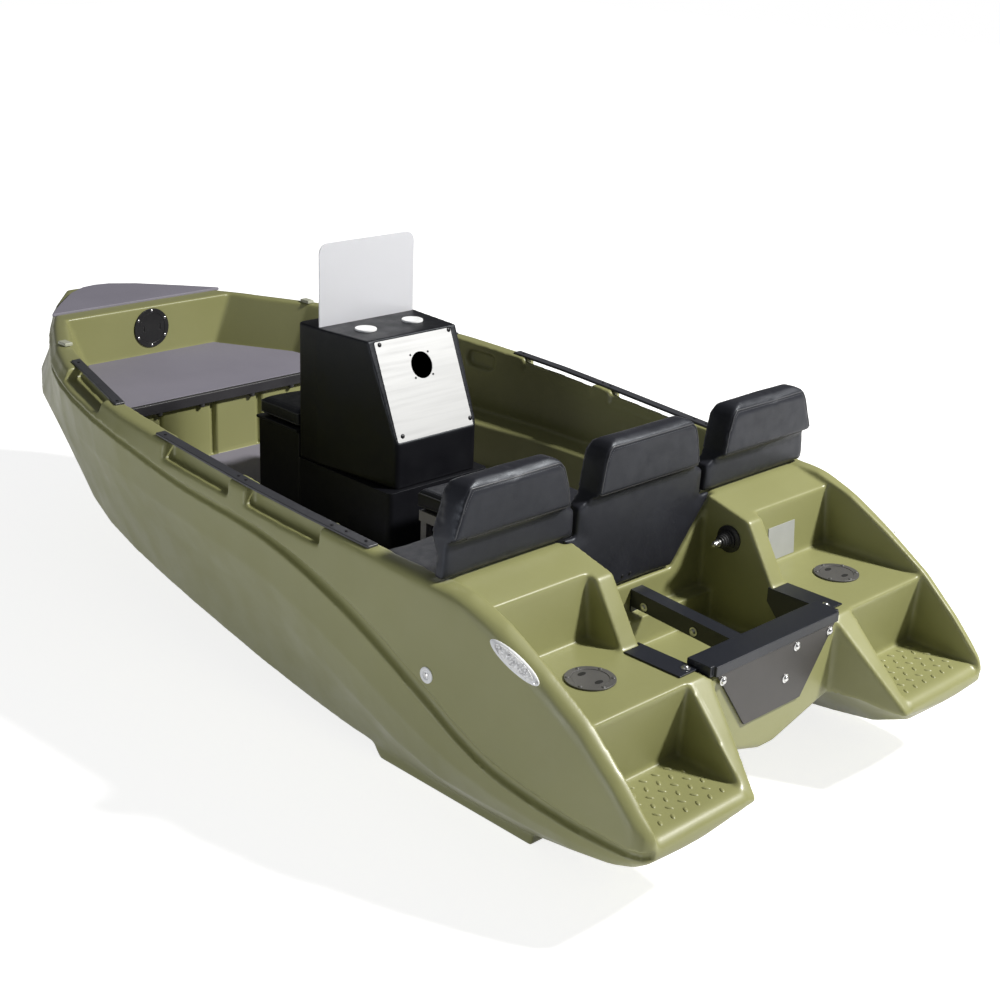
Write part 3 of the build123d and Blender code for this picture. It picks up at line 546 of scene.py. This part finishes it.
# Padded vinyl. Columns: piece, nodes it stands for, voxel, how much smaller it
# starts, furthest swelling, tightness.
PADS = [
    ("port_back_pad", ["backrest_port"], 0.008, 0.0035, 0.006, 0.8),
    ("middle_back_pad", ["backrest_middle", "middle_back_panel"], 0.008, 0.0035, 0.006, 0.8),
    ("starboard_back_pad", ["backrest_starboard"], 0.008, 0.0035, 0.006, 0.8),
    ("port_seat_cushion", ["seat_cushion_port"], 0.009, 0.008, 0.016, 0.7),
    ("middle_seat_cushion", ["seat_cushion_middle"], 0.009, 0.008, 0.016, 0.7),
    ("starboard_seat_cushion", ["seat_cushion_starboard"], 0.009, 0.008, 0.016, 0.7),
    ("locker_lid_pad", ["locker_lid_cushion"], 0.008, 0.008, 0.016, 0.7),
]
PRESSURE = 4.0
PAD_FRAMES = 20
PAD_SMOOTH = 2
BOX_GAP = 0.0006


def joined(names):
    bm = bmesh.new()
    for name in names:
        bm.from_mesh(nodes[name].data)
    mesh = bpy.data.meshes.new("joined")
    bm.to_mesh(mesh)
    bm.free()
    return mesh


def swell(obj):
    """Inflates a mesh as cloth under a steady pressure, with no weight."""
    cloth = obj.modifiers.new("cloth", "CLOTH")
    cloth.settings.quality = 4
    cloth.settings.mass = 0.4
    cloth.settings.tension_stiffness = 25
    cloth.settings.compression_stiffness = 25
    cloth.settings.shear_stiffness = 12
    cloth.settings.bending_stiffness = 12
    cloth.settings.use_pressure = True
    cloth.settings.uniform_pressure_force = PRESSURE
    cloth.settings.effector_weights.gravity = 0
    cloth.point_cache.frame_start = 1
    cloth.point_cache.frame_end = PAD_FRAMES
    for step in range(1, PAD_FRAMES + 1):
        scene.frame_set(step)
    mesh = applied(obj)
    obj.modifiers.clear()
    scene.frame_set(1)
    return mesh


def pad(name, stands_for, voxel, smaller, most, fill):
    body = nodes[stands_for[0]]["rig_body"]
    obj = piece(name, joined(stands_for), "seat_vinyl", body=body)
    low = Vector([min(v.co[i] for v in obj.data.vertices) for i in range(3)])
    high = Vector([max(v.co[i] for v in obj.data.vertices) for i in range(3)])
    centre, size = (low + high) / 2, high - low
    for v in obj.data.vertices:
        for i in range(3):
            v.co[i] = centre[i] + (v.co[i] - centre[i]) * (1 - 2 * smaller / size[i])
    remesh = obj.modifiers.new("remesh", "REMESH")
    remesh.mode = "VOXEL"
    remesh.voxel_size = voxel
    soft = obj.modifiers.new("soft", "SMOOTH")
    soft.iterations = PAD_SMOOTH
    settle(obj)
    swollen = swell(obj)
    for v, w in zip(obj.data.vertices, swollen.vertices):
        move = w.co - v.co
        if move.length > most:
            move *= most / move.length
        v.co += move
        for i in range(3):
            v.co[i] = min(max(v.co[i], low[i] + BOX_GAP), high[i] - BOX_GAP)
    soft = obj.modifiers.new("soft", "SMOOTH")
    soft.iterations = 4
    more = obj.modifiers.new("more", "SUBSURF")
    more.levels = 1
    settle(obj)
    obj.data.materials.clear()
    obj.data.materials.append(SLOT_PAINTS["seat_vinyl"])
    obj.data.shade_smooth()
    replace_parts(obj, *stands_for)
    return obj


# Surfaces that details are set on


class Surface:
    """Finds points on a piece's finished mesh."""

    def __init__(self, obj):
        mesh = obj.data
        self.tree = BVHTree.FromPolygons([v.co for v in mesh.vertices],
                                         [p.vertices for p in mesh.polygons])

    def nearest(self, point):
        where, normal, _, _ = self.tree.find_nearest(point)
        return where, normal

    def seen_from(self, start, direction):
        where, normal, _, _ = self.tree.ray_cast(start, direction)
        return where, normal


def turned(bm, profile, point, normal, heading=FORE, sides=16, stretch=1.0):
    """Adds a form turned about normal from (radius, height) rows, longer along heading."""
    side = heading.cross(normal).normalized()
    fore = normal.cross(side)
    rings = []
    for radius, height in profile:
        at = point + normal * height
        if radius == 0:
            rings.append([bm.verts.new(at)] * sides)
            continue
        turn = [2 * math.pi * k / sides for k in range(sides)]
        rings.append([bm.verts.new(at + radius * (math.cos(a) * side + stretch * math.sin(a) * fore))
                      for a in turn])
    for low, high in zip(rings, rings[1:]):
        for k in range(sides):
            corners = [low[k], low[(k + 1) % sides], high[(k + 1) % sides], high[k]]
            bm.faces.new(list(dict.fromkeys(corners)))
    if profile[0][0] > 0:
        bm.faces.new(list(reversed(rings[0])))


def tube(bm, points, radius, sides=8, closed=False):
    """Adds a round bar along points."""
    rings = []
    count = len(points)
    side = None
    for k, point in enumerate(points):
        after = points[(k + 1) % count] if closed or k + 1 < count else point
        before = points[k - 1] if closed or k > 0 else point
        along = (after - before).normalized()
        if side is None:
            side = along.cross(UP if abs(along.z) < 0.9 else FORE)
        side = (side - along * side.dot(along)).normalized()
        lift = side.cross(along)
        rings.append([bm.verts.new(point + radius * (math.cos(a) * side + math.sin(a) * lift))
                      for a in (2 * math.pi * j / sides for j in range(sides))])
    pairs = list(zip(rings, rings[1:]))
    if closed:
        pairs.append((rings[-1], rings[0]))
    for low, high in pairs:
        for j in range(sides):
            bm.faces.new([low[j], low[(j + 1) % sides], high[(j + 1) % sides], high[j]])
    if not closed:
        bm.faces.new(list(reversed(rings[0])))
        bm.faces.new(rings[-1])


def spread(points, step, closed=False):
    """Points at even steps along a line of points."""
    if closed:
        points = points + [points[0]]
    out = []
    for a, b in zip(points, points[1:]):
        count = max(1, round((b - a).length / step))
        out += [a.lerp(b, k / count) for k in range(count)]
    return out if closed else out + [points[-1]]


def rounded(points, times=2):
    """A closed line of points with its corners cut, again and again."""
    for _ in range(times):
        pairs = zip(points, points[1:] + points[:1])
        points = [p for a, b in pairs for p in (a.lerp(b, 0.25), a.lerp(b, 0.75))]
    return points


# Hull fittings
TREAD_ROWS = 6
TREAD_COLUMNS = 6
TREAD_FIRST_X = 500
TREAD_FIRST_Y = 66
TREAD_STEP_X = 57
TREAD_STEP_Y = 38
TREAD_STAGGER = 28
TREAD_LEAN = 35
OVERHEAD = 900
BUMP = [(0.015, -0.002), (0.0135, 0.001), (0.0085, 0.0032), (0, 0.0038)]


def tread_bumps(hull):
    """Raised ovals in staggered rows on the lower treads."""
    bm = bmesh.new()
    for side in (-1, 1):
        for row in range(TREAD_ROWS):
            for column in range(TREAD_COLUMNS):
                x = TREAD_FIRST_X + TREAD_STEP_X * column + (TREAD_STAGGER if row % 2 else 0)
                y = TREAD_FIRST_Y + TREAD_STEP_Y * row
                where, _ = hull.seen_from(place(side * x, y, OVERHEAD), -UP)
                lean = math.radians(TREAD_LEAN if row % 2 else -TREAD_LEAN)
                heading = Vector((math.cos(lean), math.sin(lean), 0))
                turned(bm, BUMP, where, UP, heading, 12, 0.5)
    bmesh_piece("tread_bumps", bm, "hull_polyethylene")


LAMP_AT = (962, 526, 742)
LAMP_SLOPE = math.radians(21.6)
LAMP_BASE = [(0.0245, -0.012), (0.0245, 0.001), (0.022, 0.0035), (0, 0.0035)]
LAMP_LENS = [(0.019, 0.002), (0.018, 0.006), (0.012, 0.008), (0, 0.0088)]
LAMP_SCREW = [(0.004, 0.002), (0.004, 0.0045), (0, 0.0055)]
LAMP_SCREW_OFF = 0.0925


def stern_lamps(hull):
    """Long oval lamps on the outer edge of the stern quarters."""
    base, lens, studs = bmesh.new(), bmesh.new(), bmesh.new()
    heading = Vector((0, math.cos(LAMP_SLOPE), math.sin(LAMP_SLOPE)))
    x, y, z = LAMP_AT
    for side in (-1, 1):
        where, normal = hull.nearest(place(side * x, y, z))
        turned(base, LAMP_BASE, where, normal, heading, 32, 4.2)
        turned(lens, LAMP_LENS, where, normal, heading, 32, 4.4)
        for end in (-1, 1):
            at = where + heading * end * LAMP_SCREW_OFF
            turned(studs, LAMP_SCREW, at, normal, heading, 10)
    bmesh_piece("stern_lamp_bases", base, "cap_white")
    bmesh_piece("stern_lamp_lenses", lens, "cap_white", LENS.mat)
    bmesh_piece("stern_lamp_screws", studs, "seat_aluminium", STEEL)


EYE_AT = (1400, 890, 560)
EYE_RING = [(0.027, -0.004), (0.027, 0.003), (0.024, 0.005), (0.015, 0.0045), (0.012, 0.001), (0, 0.001)]
EYE_CORE = [(0.009, 0), (0.009, 0.004), (0.006, 0.0055), (0, 0.0055)]


def side_eyes(hull):
    """Round lashing eyes on the outer sides, forward of the sponsons."""
    rings, cores = bmesh.new(), bmesh.new()
    x, y, z = EYE_AT
    for side in (-1, 1):
        where, normal = hull.seen_from(place(side * x, y, z), Vector((-side, 0, 0)))
        turned(rings, EYE_RING, where, normal, FORE, 28)
        turned(cores, EYE_CORE, where, normal, FORE, 6)
    bmesh_piece("side_eye_rings", rings, "cap_white")
    bmesh_piece("side_eye_cores", cores, "seat_aluminium", STEEL)


# Screw heads. Columns: radius, height.
SCREW = [(0.0065, -0.001), (0.0065, 0.0012), (0.0045, 0.003), (0, 0.0034)]
DASH_SCREW = [(0.009, -0.001), (0.009, 0.0015), (0.006, 0.004), (0, 0.0046)]
SMALL_SCREW = [(0.0045, -0.001), (0.0045, 0.001), (0, 0.002)]
WASHER = [(0.016, -0.001), (0.016, 0.002), (0.0145, 0.0028), (0, 0.0028)]
DOME = [(0.0115, 0.0025), (0.0105, 0.0065), (0.0065, 0.0095), (0, 0.0105)]


def screws(name, spots, paint, profile, slot="seat_aluminium", sides=14):
    """Screw heads of one kind. Spots are (point, normal) pairs."""
    bm = bmesh.new()
    for where, normal in spots:
        turned(bm, profile, where, normal, FORE if abs(normal.y) < 0.9 else UP, sides)
    bmesh_piece(name, bm, slot, paint)


def surface_of(node):
    return Surface(nodes[node])


# Screws of the rails. Columns: from the middle, from the stern.
RAIL_SCREWS = {
    "aft": [(914, 1235), (917, 1330), (925, 1395), (931, 1855), (930, 1898), (920, 2360)],
    "fore": [(865, 2770), (735, 3265)],
}
SIDES = (("port", -1), ("starboard", 1))


def rail_screws():
    spots = []
    for name, places in RAIL_SCREWS.items():
        for side, sign in SIDES:
            rail = surface_of("handrail_%s_%s" % (name, side))
            spots += [rail.seen_from(place(sign * x, y, 1500), -UP) for x, y in places]
    screws("rail_screws", spots, BLACK_STEEL, SCREW, "rail_black")


def ring_spots(centre, normal, across, radius, count, start=0.0):
    up = normal.cross(across)
    turns = [start + 2 * math.pi * k / count for k in range(count)]
    return [(centre + radius * (math.cos(a) * across + math.sin(a) * up), normal) for a in turns]


STERN_HATCH_PITCH = 0.071
BOW_HATCH_PITCH = 0.081
GRIP_SHADE_DISC = [(0.009, -0.001), (0.009, 0.0008), (0, 0.0011)]
GRIP_OFF = 0.036
STARBOARD = Vector((1, 0, 0))


def hatch_screws():
    """Screws of the three hatch rings, and thin near-black discs on the stern lids, painted shade in their
    finger recesses.
    """
    spots, recess_shade_discs = [], bmesh.new()
    for side, _ in SIDES:
        low, high = corners("stern_hatch_ring_" + side)
        centre = Vector(((low.x + high.x) / 2, (low.y + high.y) / 2, high.z))
        spots += ring_spots(centre, UP, STARBOARD, STERN_HATCH_PITCH, 6, 0.3)
        lid = surface_of("stern_hatch_lid_" + side)
        # Near-black discs in the finger recesses paint the shade there.
        for along in (-GRIP_OFF, GRIP_OFF):
            where, normal = lid.seen_from(centre + Vector((0, along, 0.2)), -UP)
            turned(recess_shade_discs, GRIP_SHADE_DISC, where, normal, STARBOARD, 16, 1.8)
    screws("stern_hatch_screws", spots, SLOT_PAINTS["hatch_grey"], SCREW, "hatch_grey")
    bmesh_piece("stern_hatch_recess_shade", recess_shade_discs, "hatch_grey", RECESS_SHADE_AND_SEAM_BLACK)
    low, high = corners("bow_hatch_ring")
    centre = Vector(((low.x + high.x) / 2, low.y, (low.z + high.z) / 2))
    spots = ring_spots(centre, AFT, STARBOARD, BOW_HATCH_PITCH, 6, 0.5)
    screws("bow_hatch_screws", spots, STEEL, SCREW, "hatch_black")


# Bolts of the bracket: on the aft plate (x, height), on the arms (x, from the stern)
# and on the brace (from the stern, height)
PLATE_BOLTS = ((-285, 566), (101, 566), (285, 566), (54, 465))
ARM_BOLT = (372, 340)
BRACE_BOLTS = ((583, 540), (805, 552))


def bracket_bolts():
    plate, brace = surface_of("transom_plate_aft"), surface_of("centre_brace")
    spots = [plate.seen_from(place(x, -500, z), FORE) for x, z in PLATE_BOLTS]
    for side, sign in SIDES:
        arm = surface_of("side_arm_" + side)
        spots.append(arm.seen_from(place(sign * ARM_BOLT[0], ARM_BOLT[1], 900), -UP))
    spots += [brace.seen_from(place(-200, y, z), STARBOARD) for y, z in BRACE_BOLTS]
    screws("bracket_washers", spots, STEEL, WASHER, sides=22)
    screws("bracket_bolts", spots, STEEL, DOME, sides=16)


# Screws of the dash (x, height), and those of the helm hole about its middle
DASH_SCREWS = ((-175, 1237), (188, 1241), (190, 915), (-170, 911))
DASH_DRAWN_IN = 0.97
HELM_X = 109
HELM_Z = 1137.7
HELM_OFF = 0.0445


def dash_screws():
    dash = surface_of("dash_plate")
    spots = [dash.seen_from(place(DASH_DRAWN_IN * x, 1000, z - 2), FORE) for x, z in DASH_SCREWS]
    screws("dash_screws", spots, BLACK_STEEL, DASH_SCREW, "dash_aluminium")
    level, normal = dash.seen_from(place(HELM_X, 1000, HELM_Z), FORE)
    up = normal.cross(STARBOARD)
    centre = level - Vector((0.1, 0, 0))
    offsets = (-HELM_OFF, HELM_OFF)
    spots = [(centre + Vector((x, 0, 0)) + up * z, normal) for x in offsets for z in offsets]
    screws("helm_screws", spots, BLACK_STEEL, SMALL_SCREW, "dash_aluminium")


BELLOWS = [
    (0.05, 0.0), (0.05, 0.006), (0.046, 0.009), (0.035, 0.011), (0.036, 0.018), (0.03, 0.022),
    (0.031, 0.028), (0.0265, 0.032), (0.0275, 0.038), (0.0235, 0.042), (0.0245, 0.048),
    (0.02, 0.052), (0.02, 0.056), (0, 0.057),
]
STUB = [(0.0135, 0.056), (0.0135, 0.067), (0.0105, 0.069), (0.0105, 0.082), (0.0085, 0.089), (0, 0.09)]


def cable_fitting():
    """Ringed gland and threaded stub on the rubber boot in the well's wall."""
    low, high = corners("cable_boot")
    centre = Vector((high.x, (low.y + high.y) / 2, (low.z + high.z) / 2))
    rubber, metal = bmesh.new(), bmesh.new()
    turned(rubber, BELLOWS, centre, -STARBOARD, UP, 28)
    turned(metal, STUB, centre, -STARBOARD, UP, 18)
    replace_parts(bmesh_piece("cable_gland", rubber, "boot_rubber"), "cable_boot")
    bmesh_piece("cable_stub", metal, "boot_rubber", STEEL)


CLIP = [(0.013, -0.002), (0.013, 0.010), (0.009, 0.014), (0, 0.014)]
CLIP_PLACES = (-0.403, -0.19, 0.074, 0.29)
CLIP_INSET = 0.012


def beam_nubs():
    """Small clips under the platform's beam."""
    bm = bmesh.new()
    low, high = corners("platform_beam")
    for x in CLIP_PLACES:
        turned(bm, CLIP, Vector((x, low.y + CLIP_INSET, low.z)), -UP, FORE, 12)
    bmesh_piece("beam_clips", bm, "beam_black")


# Seams and piping
PIPE_R = 0.0024
PIPE_STEP = 0.008
STITCH_STEP = 0.009
STITCH = [(0.0009, -0.0006), (0.0009, 0.0004), (0, 0.0008)]


def on_surface(surface, points, lift):
    """Points set on a surface, and what is normal to it there."""
    out = []
    for point in points:
        where, normal = surface.nearest(point)
        out.append((where + normal * lift, normal))
    return out


def piping(name, surface, line, radius, body, paint, closed=False, lift=0.0006):
    bm = bmesh.new()
    tube(bm, [p for p, _ in on_surface(surface, line, lift)], radius, 8, closed)
    return bmesh_piece(name, bm, "seat_vinyl", paint, body, 80)


def stitches(name, surface, line, body, closed=False):
    """A row of short stitches along a line on a surface."""
    bm = bmesh.new()
    spots = on_surface(surface, spread(line, STITCH_STEP, closed), 0.0)
    for (a, normal), (b, _) in zip(spots, spots[1:]):
        along = b - a
        if along.length > SAME_POINT:
            turned(bm, STITCH, a.lerp(b, 0.5), normal, along.normalized(), 6, 2.9)
    bmesh_piece(name, bm, "seat_vinyl", THREAD, body, 80)


FORE_FACE_DEPTH = 0.035
AFT_FACE_DEPTH = 0.008
FACE_SLACK = 0.005


def face_outline(node, towards_fore, inset, above):
    """Inset outline of the flat aft or fore face of a back, over a height."""
    low, high = corners(node)
    plane = high.y if towards_fore else low.y
    deep = FORE_FACE_DEPTH if towards_fore else AFT_FACE_DEPTH
    points = {(round(v.co.x, 4), round(v.co.z, 4)) for v in nodes[node].data.vertices
              if abs(v.co.y - plane) < deep and v.co.z > above - FACE_SLACK}
    middle = Vector(((low.x + high.x) / 2, (above + high.z) / 2))
    half = Vector(((high.x - low.x) / 2, (high.z - above) / 2))
    round_the_top = sorted(points, key=lambda p: -((math.atan2(p[1] - middle.y, p[0] - middle.x)
                                                    + math.pi / 2) % (2 * math.pi)))
    return [Vector((middle.x + (x - middle.x) * (1 - inset / half.x), plane,
                    middle.y + (z - middle.y) * (1 - inset / half.y))) for x, z in round_the_top]


BACKS = [("port_back_pad", "backrest_port"), ("middle_back_pad", "backrest_middle"),
         ("starboard_back_pad", "backrest_starboard")]
SEAM_Z = 1.005
SEAM_R = 0.0016
SEAM_STEP = 0.01
SEAM_DROP = 0.006
SEAM_INSET = 0.07
BACK_PIPE_INSET = 0.009
BACK_STITCH_INSET = 0.021
BACK_STITCH_RISE = 0.02


def back_seams(pads):
    for name, node in BACKS:
        surface = pads[name]
        low, high = corners(node)
        for towards_fore, word in ((False, "aft"), (True, "fore")):
            line = face_outline(node, towards_fore, BACK_PIPE_INSET, SEAM_Z)
            line = spread(line, PIPE_STEP)
            piping("%s_piping_%s" % (name, word), surface, line, PIPE_R, "root", PIPING)
            inner = face_outline(node, towards_fore, BACK_STITCH_INSET, SEAM_Z + BACK_STITCH_RISE)
            inner = spread(inner, PIPE_STEP)
            stitches("%s_stitches_%s" % (name, word), surface, inner, "root")
        across = [Vector((low.x + SEAM_INSET, low.y, SEAM_Z - SEAM_DROP)),
                  Vector((high.x - SEAM_INSET, low.y, SEAM_Z - SEAM_DROP))]
        piping(name + "_seam", surface, spread(across, SEAM_STEP), SEAM_R, "root", RECESS_SHADE_AND_SEAM_BLACK)


def panel_screws(pads):
    """Two screws low on the middle back's aft face."""
    spots = [pads["middle_back_pad"].seen_from(place(x, 600, 665), FORE) for x in (-85, -45)]
    screws("back_panel_screws", spots, BLACK_STEEL, SCREW, "seat_vinyl")


# Cushions. Columns: piece, node, body.
CUSHIONS = [
    ("port_seat_cushion", "seat_cushion_port", "root"),
    ("middle_seat_cushion", "seat_cushion_middle", "root"),
    ("starboard_seat_cushion", "seat_cushion_starboard", "root"),
    ("locker_lid_pad", "locker_lid_cushion", "forward_seat_lid"),
]
CUSHION_PIPE_OFF = 0.012
CUSHION_CORNER_STEP = 0.06
CUSHION_STITCH_INSET = 0.03


def level_outline(low, high, level, inset=0.0):
    """Four corners of a box seen from above, at a level."""
    return [Vector((low.x + inset, low.y + inset, level)), Vector((high.x - inset, low.y + inset, level)),
            Vector((high.x - inset, high.y - inset, level)), Vector((low.x + inset, high.y - inset, level))]


def cushion_seams(pads):
    for name, node, body in CUSHIONS:
        low, high = corners(node)
        for level, word in ((high.z - CUSHION_PIPE_OFF, "top"), (low.z + CUSHION_PIPE_OFF, "low")):
            line = spread(level_outline(low, high, level), CUSHION_CORNER_STEP, True)
            line = spread(rounded(line, 2), SEAM_STEP, True)
            piping("%s_piping_%s" % (name, word), pads[name], line, PIPE_R, body, PIPING, True)
        line = level_outline(low, high, high.z, CUSHION_STITCH_INSET)
        stitches(name + "_stitches", pads[name], line, body, True)


# Stage: a pale floor and backdrop, and soft studio light
FLOOR_SIZE = 60
SKY = 0.13
SUN_AT = (4.7, -6.6, 8.2)
SUN_SIZE = 1.2
SUN_POWER = 1750
FILL_AT = (-7.5, -1.0, 0.6)
FILL_SIZE = 4.0
FILL_POWER = 190
FLOOR_GLOW = 0.8
FLOOR_MIRRORED = 0.5
FLOOR_NEAR = 3.0
FLOOR_FAR = 8.0
FLOOR_WHITE = 1.05


def floor():
    """Pale ground that keeps the shadow near the boat and is white far from it."""
    mesh = bpy.data.meshes.new("floor")
    half = FLOOR_SIZE / 2
    mesh.from_pydata([(-half, -half, 0), (half, -half, 0), (half, half, 0), (-half, half, 0)],
                     [], [(0, 1, 2, 3)])
    obj = bpy.data.objects.new("floor", mesh)
    scene.collection.objects.link(obj)
    mat = bpy.data.materials.new("floor")
    mat.use_nodes = True
    tree = mat.node_tree
    bsdf = tree.nodes["Principled BSDF"]
    bsdf.inputs["Base Color"].default_value = (0.7, 0.7, 0.7, 1)
    bsdf.inputs["Roughness"].default_value = 0.95
    bsdf.inputs["Emission Color"].default_value = (1, 1, 1, 1)
    path = tree.nodes.new("ShaderNodeLightPath")
    mirrored = tree.nodes.new("ShaderNodeMath")
    mirrored.operation = "MULTIPLY"
    mirrored.inputs[1].default_value = FLOOR_MIRRORED
    coords = tree.nodes.new("ShaderNodeTexCoord")
    away = tree.nodes.new("ShaderNodeVectorMath")
    away.operation = "LENGTH"
    whiten = tree.nodes.new("ShaderNodeMapRange")
    whiten.inputs["From Min"].default_value = FLOOR_NEAR
    whiten.inputs["From Max"].default_value = FLOOR_FAR
    whiten.inputs["To Min"].default_value = FLOOR_GLOW
    whiten.inputs["To Max"].default_value = FLOOR_WHITE
    glow = tree.nodes.new("ShaderNodeMath")
    glow.operation = "MULTIPLY_ADD"
    tree.links.new(coords.outputs["Object"], away.inputs[0])
    tree.links.new(away.outputs["Value"], whiten.inputs["Value"])
    tree.links.new(whiten.outputs["Result"], glow.inputs[1])
    tree.links.new(path.outputs["Is Glossy Ray"], mirrored.inputs[0])
    tree.links.new(path.outputs["Is Camera Ray"], glow.inputs[0])
    tree.links.new(mirrored.outputs[0], glow.inputs[2])
    tree.links.new(glow.outputs[0], bsdf.inputs["Emission Strength"])
    obj.data.materials.append(mat)


def area(name, place_at, target, size, power, color=(1, 1, 1)):
    data = bpy.data.lights.new(name, "AREA")
    data.shape = "DISK"
    data.size = size
    data.energy = power
    data.color = color
    obj = bpy.data.objects.new(name, data)
    obj.location = place_at
    obj.rotation_euler = (Vector(target) - Vector(place_at)).to_track_quat("-Z", "Y").to_euler()
    scene.collection.objects.link(obj)


def world():
    scene.world = bpy.data.worlds.new("studio")
    scene.world.use_nodes = True
    tree = scene.world.node_tree
    back = tree.nodes["Background"]
    back.inputs["Color"].default_value = (0.97, 0.98, 1, 1)
    back.inputs["Strength"].default_value = SKY
    seen = tree.nodes.new("ShaderNodeBackground")
    seen.inputs["Color"].default_value = (1, 1, 1, 1)
    seen.inputs["Strength"].default_value = 1.0
    path = tree.nodes.new("ShaderNodeLightPath")
    either = tree.nodes.new("ShaderNodeMath")
    either.operation = "MAXIMUM"
    mix = tree.nodes.new("ShaderNodeMixShader")
    tree.links.new(path.outputs["Is Camera Ray"], either.inputs[0])
    tree.links.new(path.outputs["Is Transmission Ray"], either.inputs[1])
    tree.links.new(either.outputs[0], mix.inputs["Fac"])
    tree.links.new(back.outputs[0], mix.inputs[1])
    tree.links.new(seen.outputs[0], mix.inputs[2])
    tree.links.new(mix.outputs[0], tree.nodes["World Output"].inputs["Surface"])


camera()
for width, names in BEVELS:
    for node_name in names:
        refine(node_name, width)
skins = {row[0]: soften(*row) for row in SKINS}
hull_surface = Surface(skins["hull"])
tread_bumps(hull_surface)
stern_lamps(hull_surface)
side_eyes(hull_surface)
rail_screws()
hatch_screws()
bracket_bolts()
dash_screws()
cable_fitting()
beam_nubs()
pad_surfaces = {row[0]: Surface(pad(*row)) for row in PADS}
back_seams(pad_surfaces)
panel_screws(pad_surfaces)
cushion_seams(pad_surfaces)
floor()
world()
area("sun", SUN_AT, (0, 0, 0.5), SUN_SIZE, SUN_POWER, (1, 0.985, 0.95))
area("port_fill", FILL_AT, (-1, 0, 0.4), FILL_SIZE, FILL_POWER, (0.93, 0.95, 1))
scene.view_settings.view_transform = "Standard"
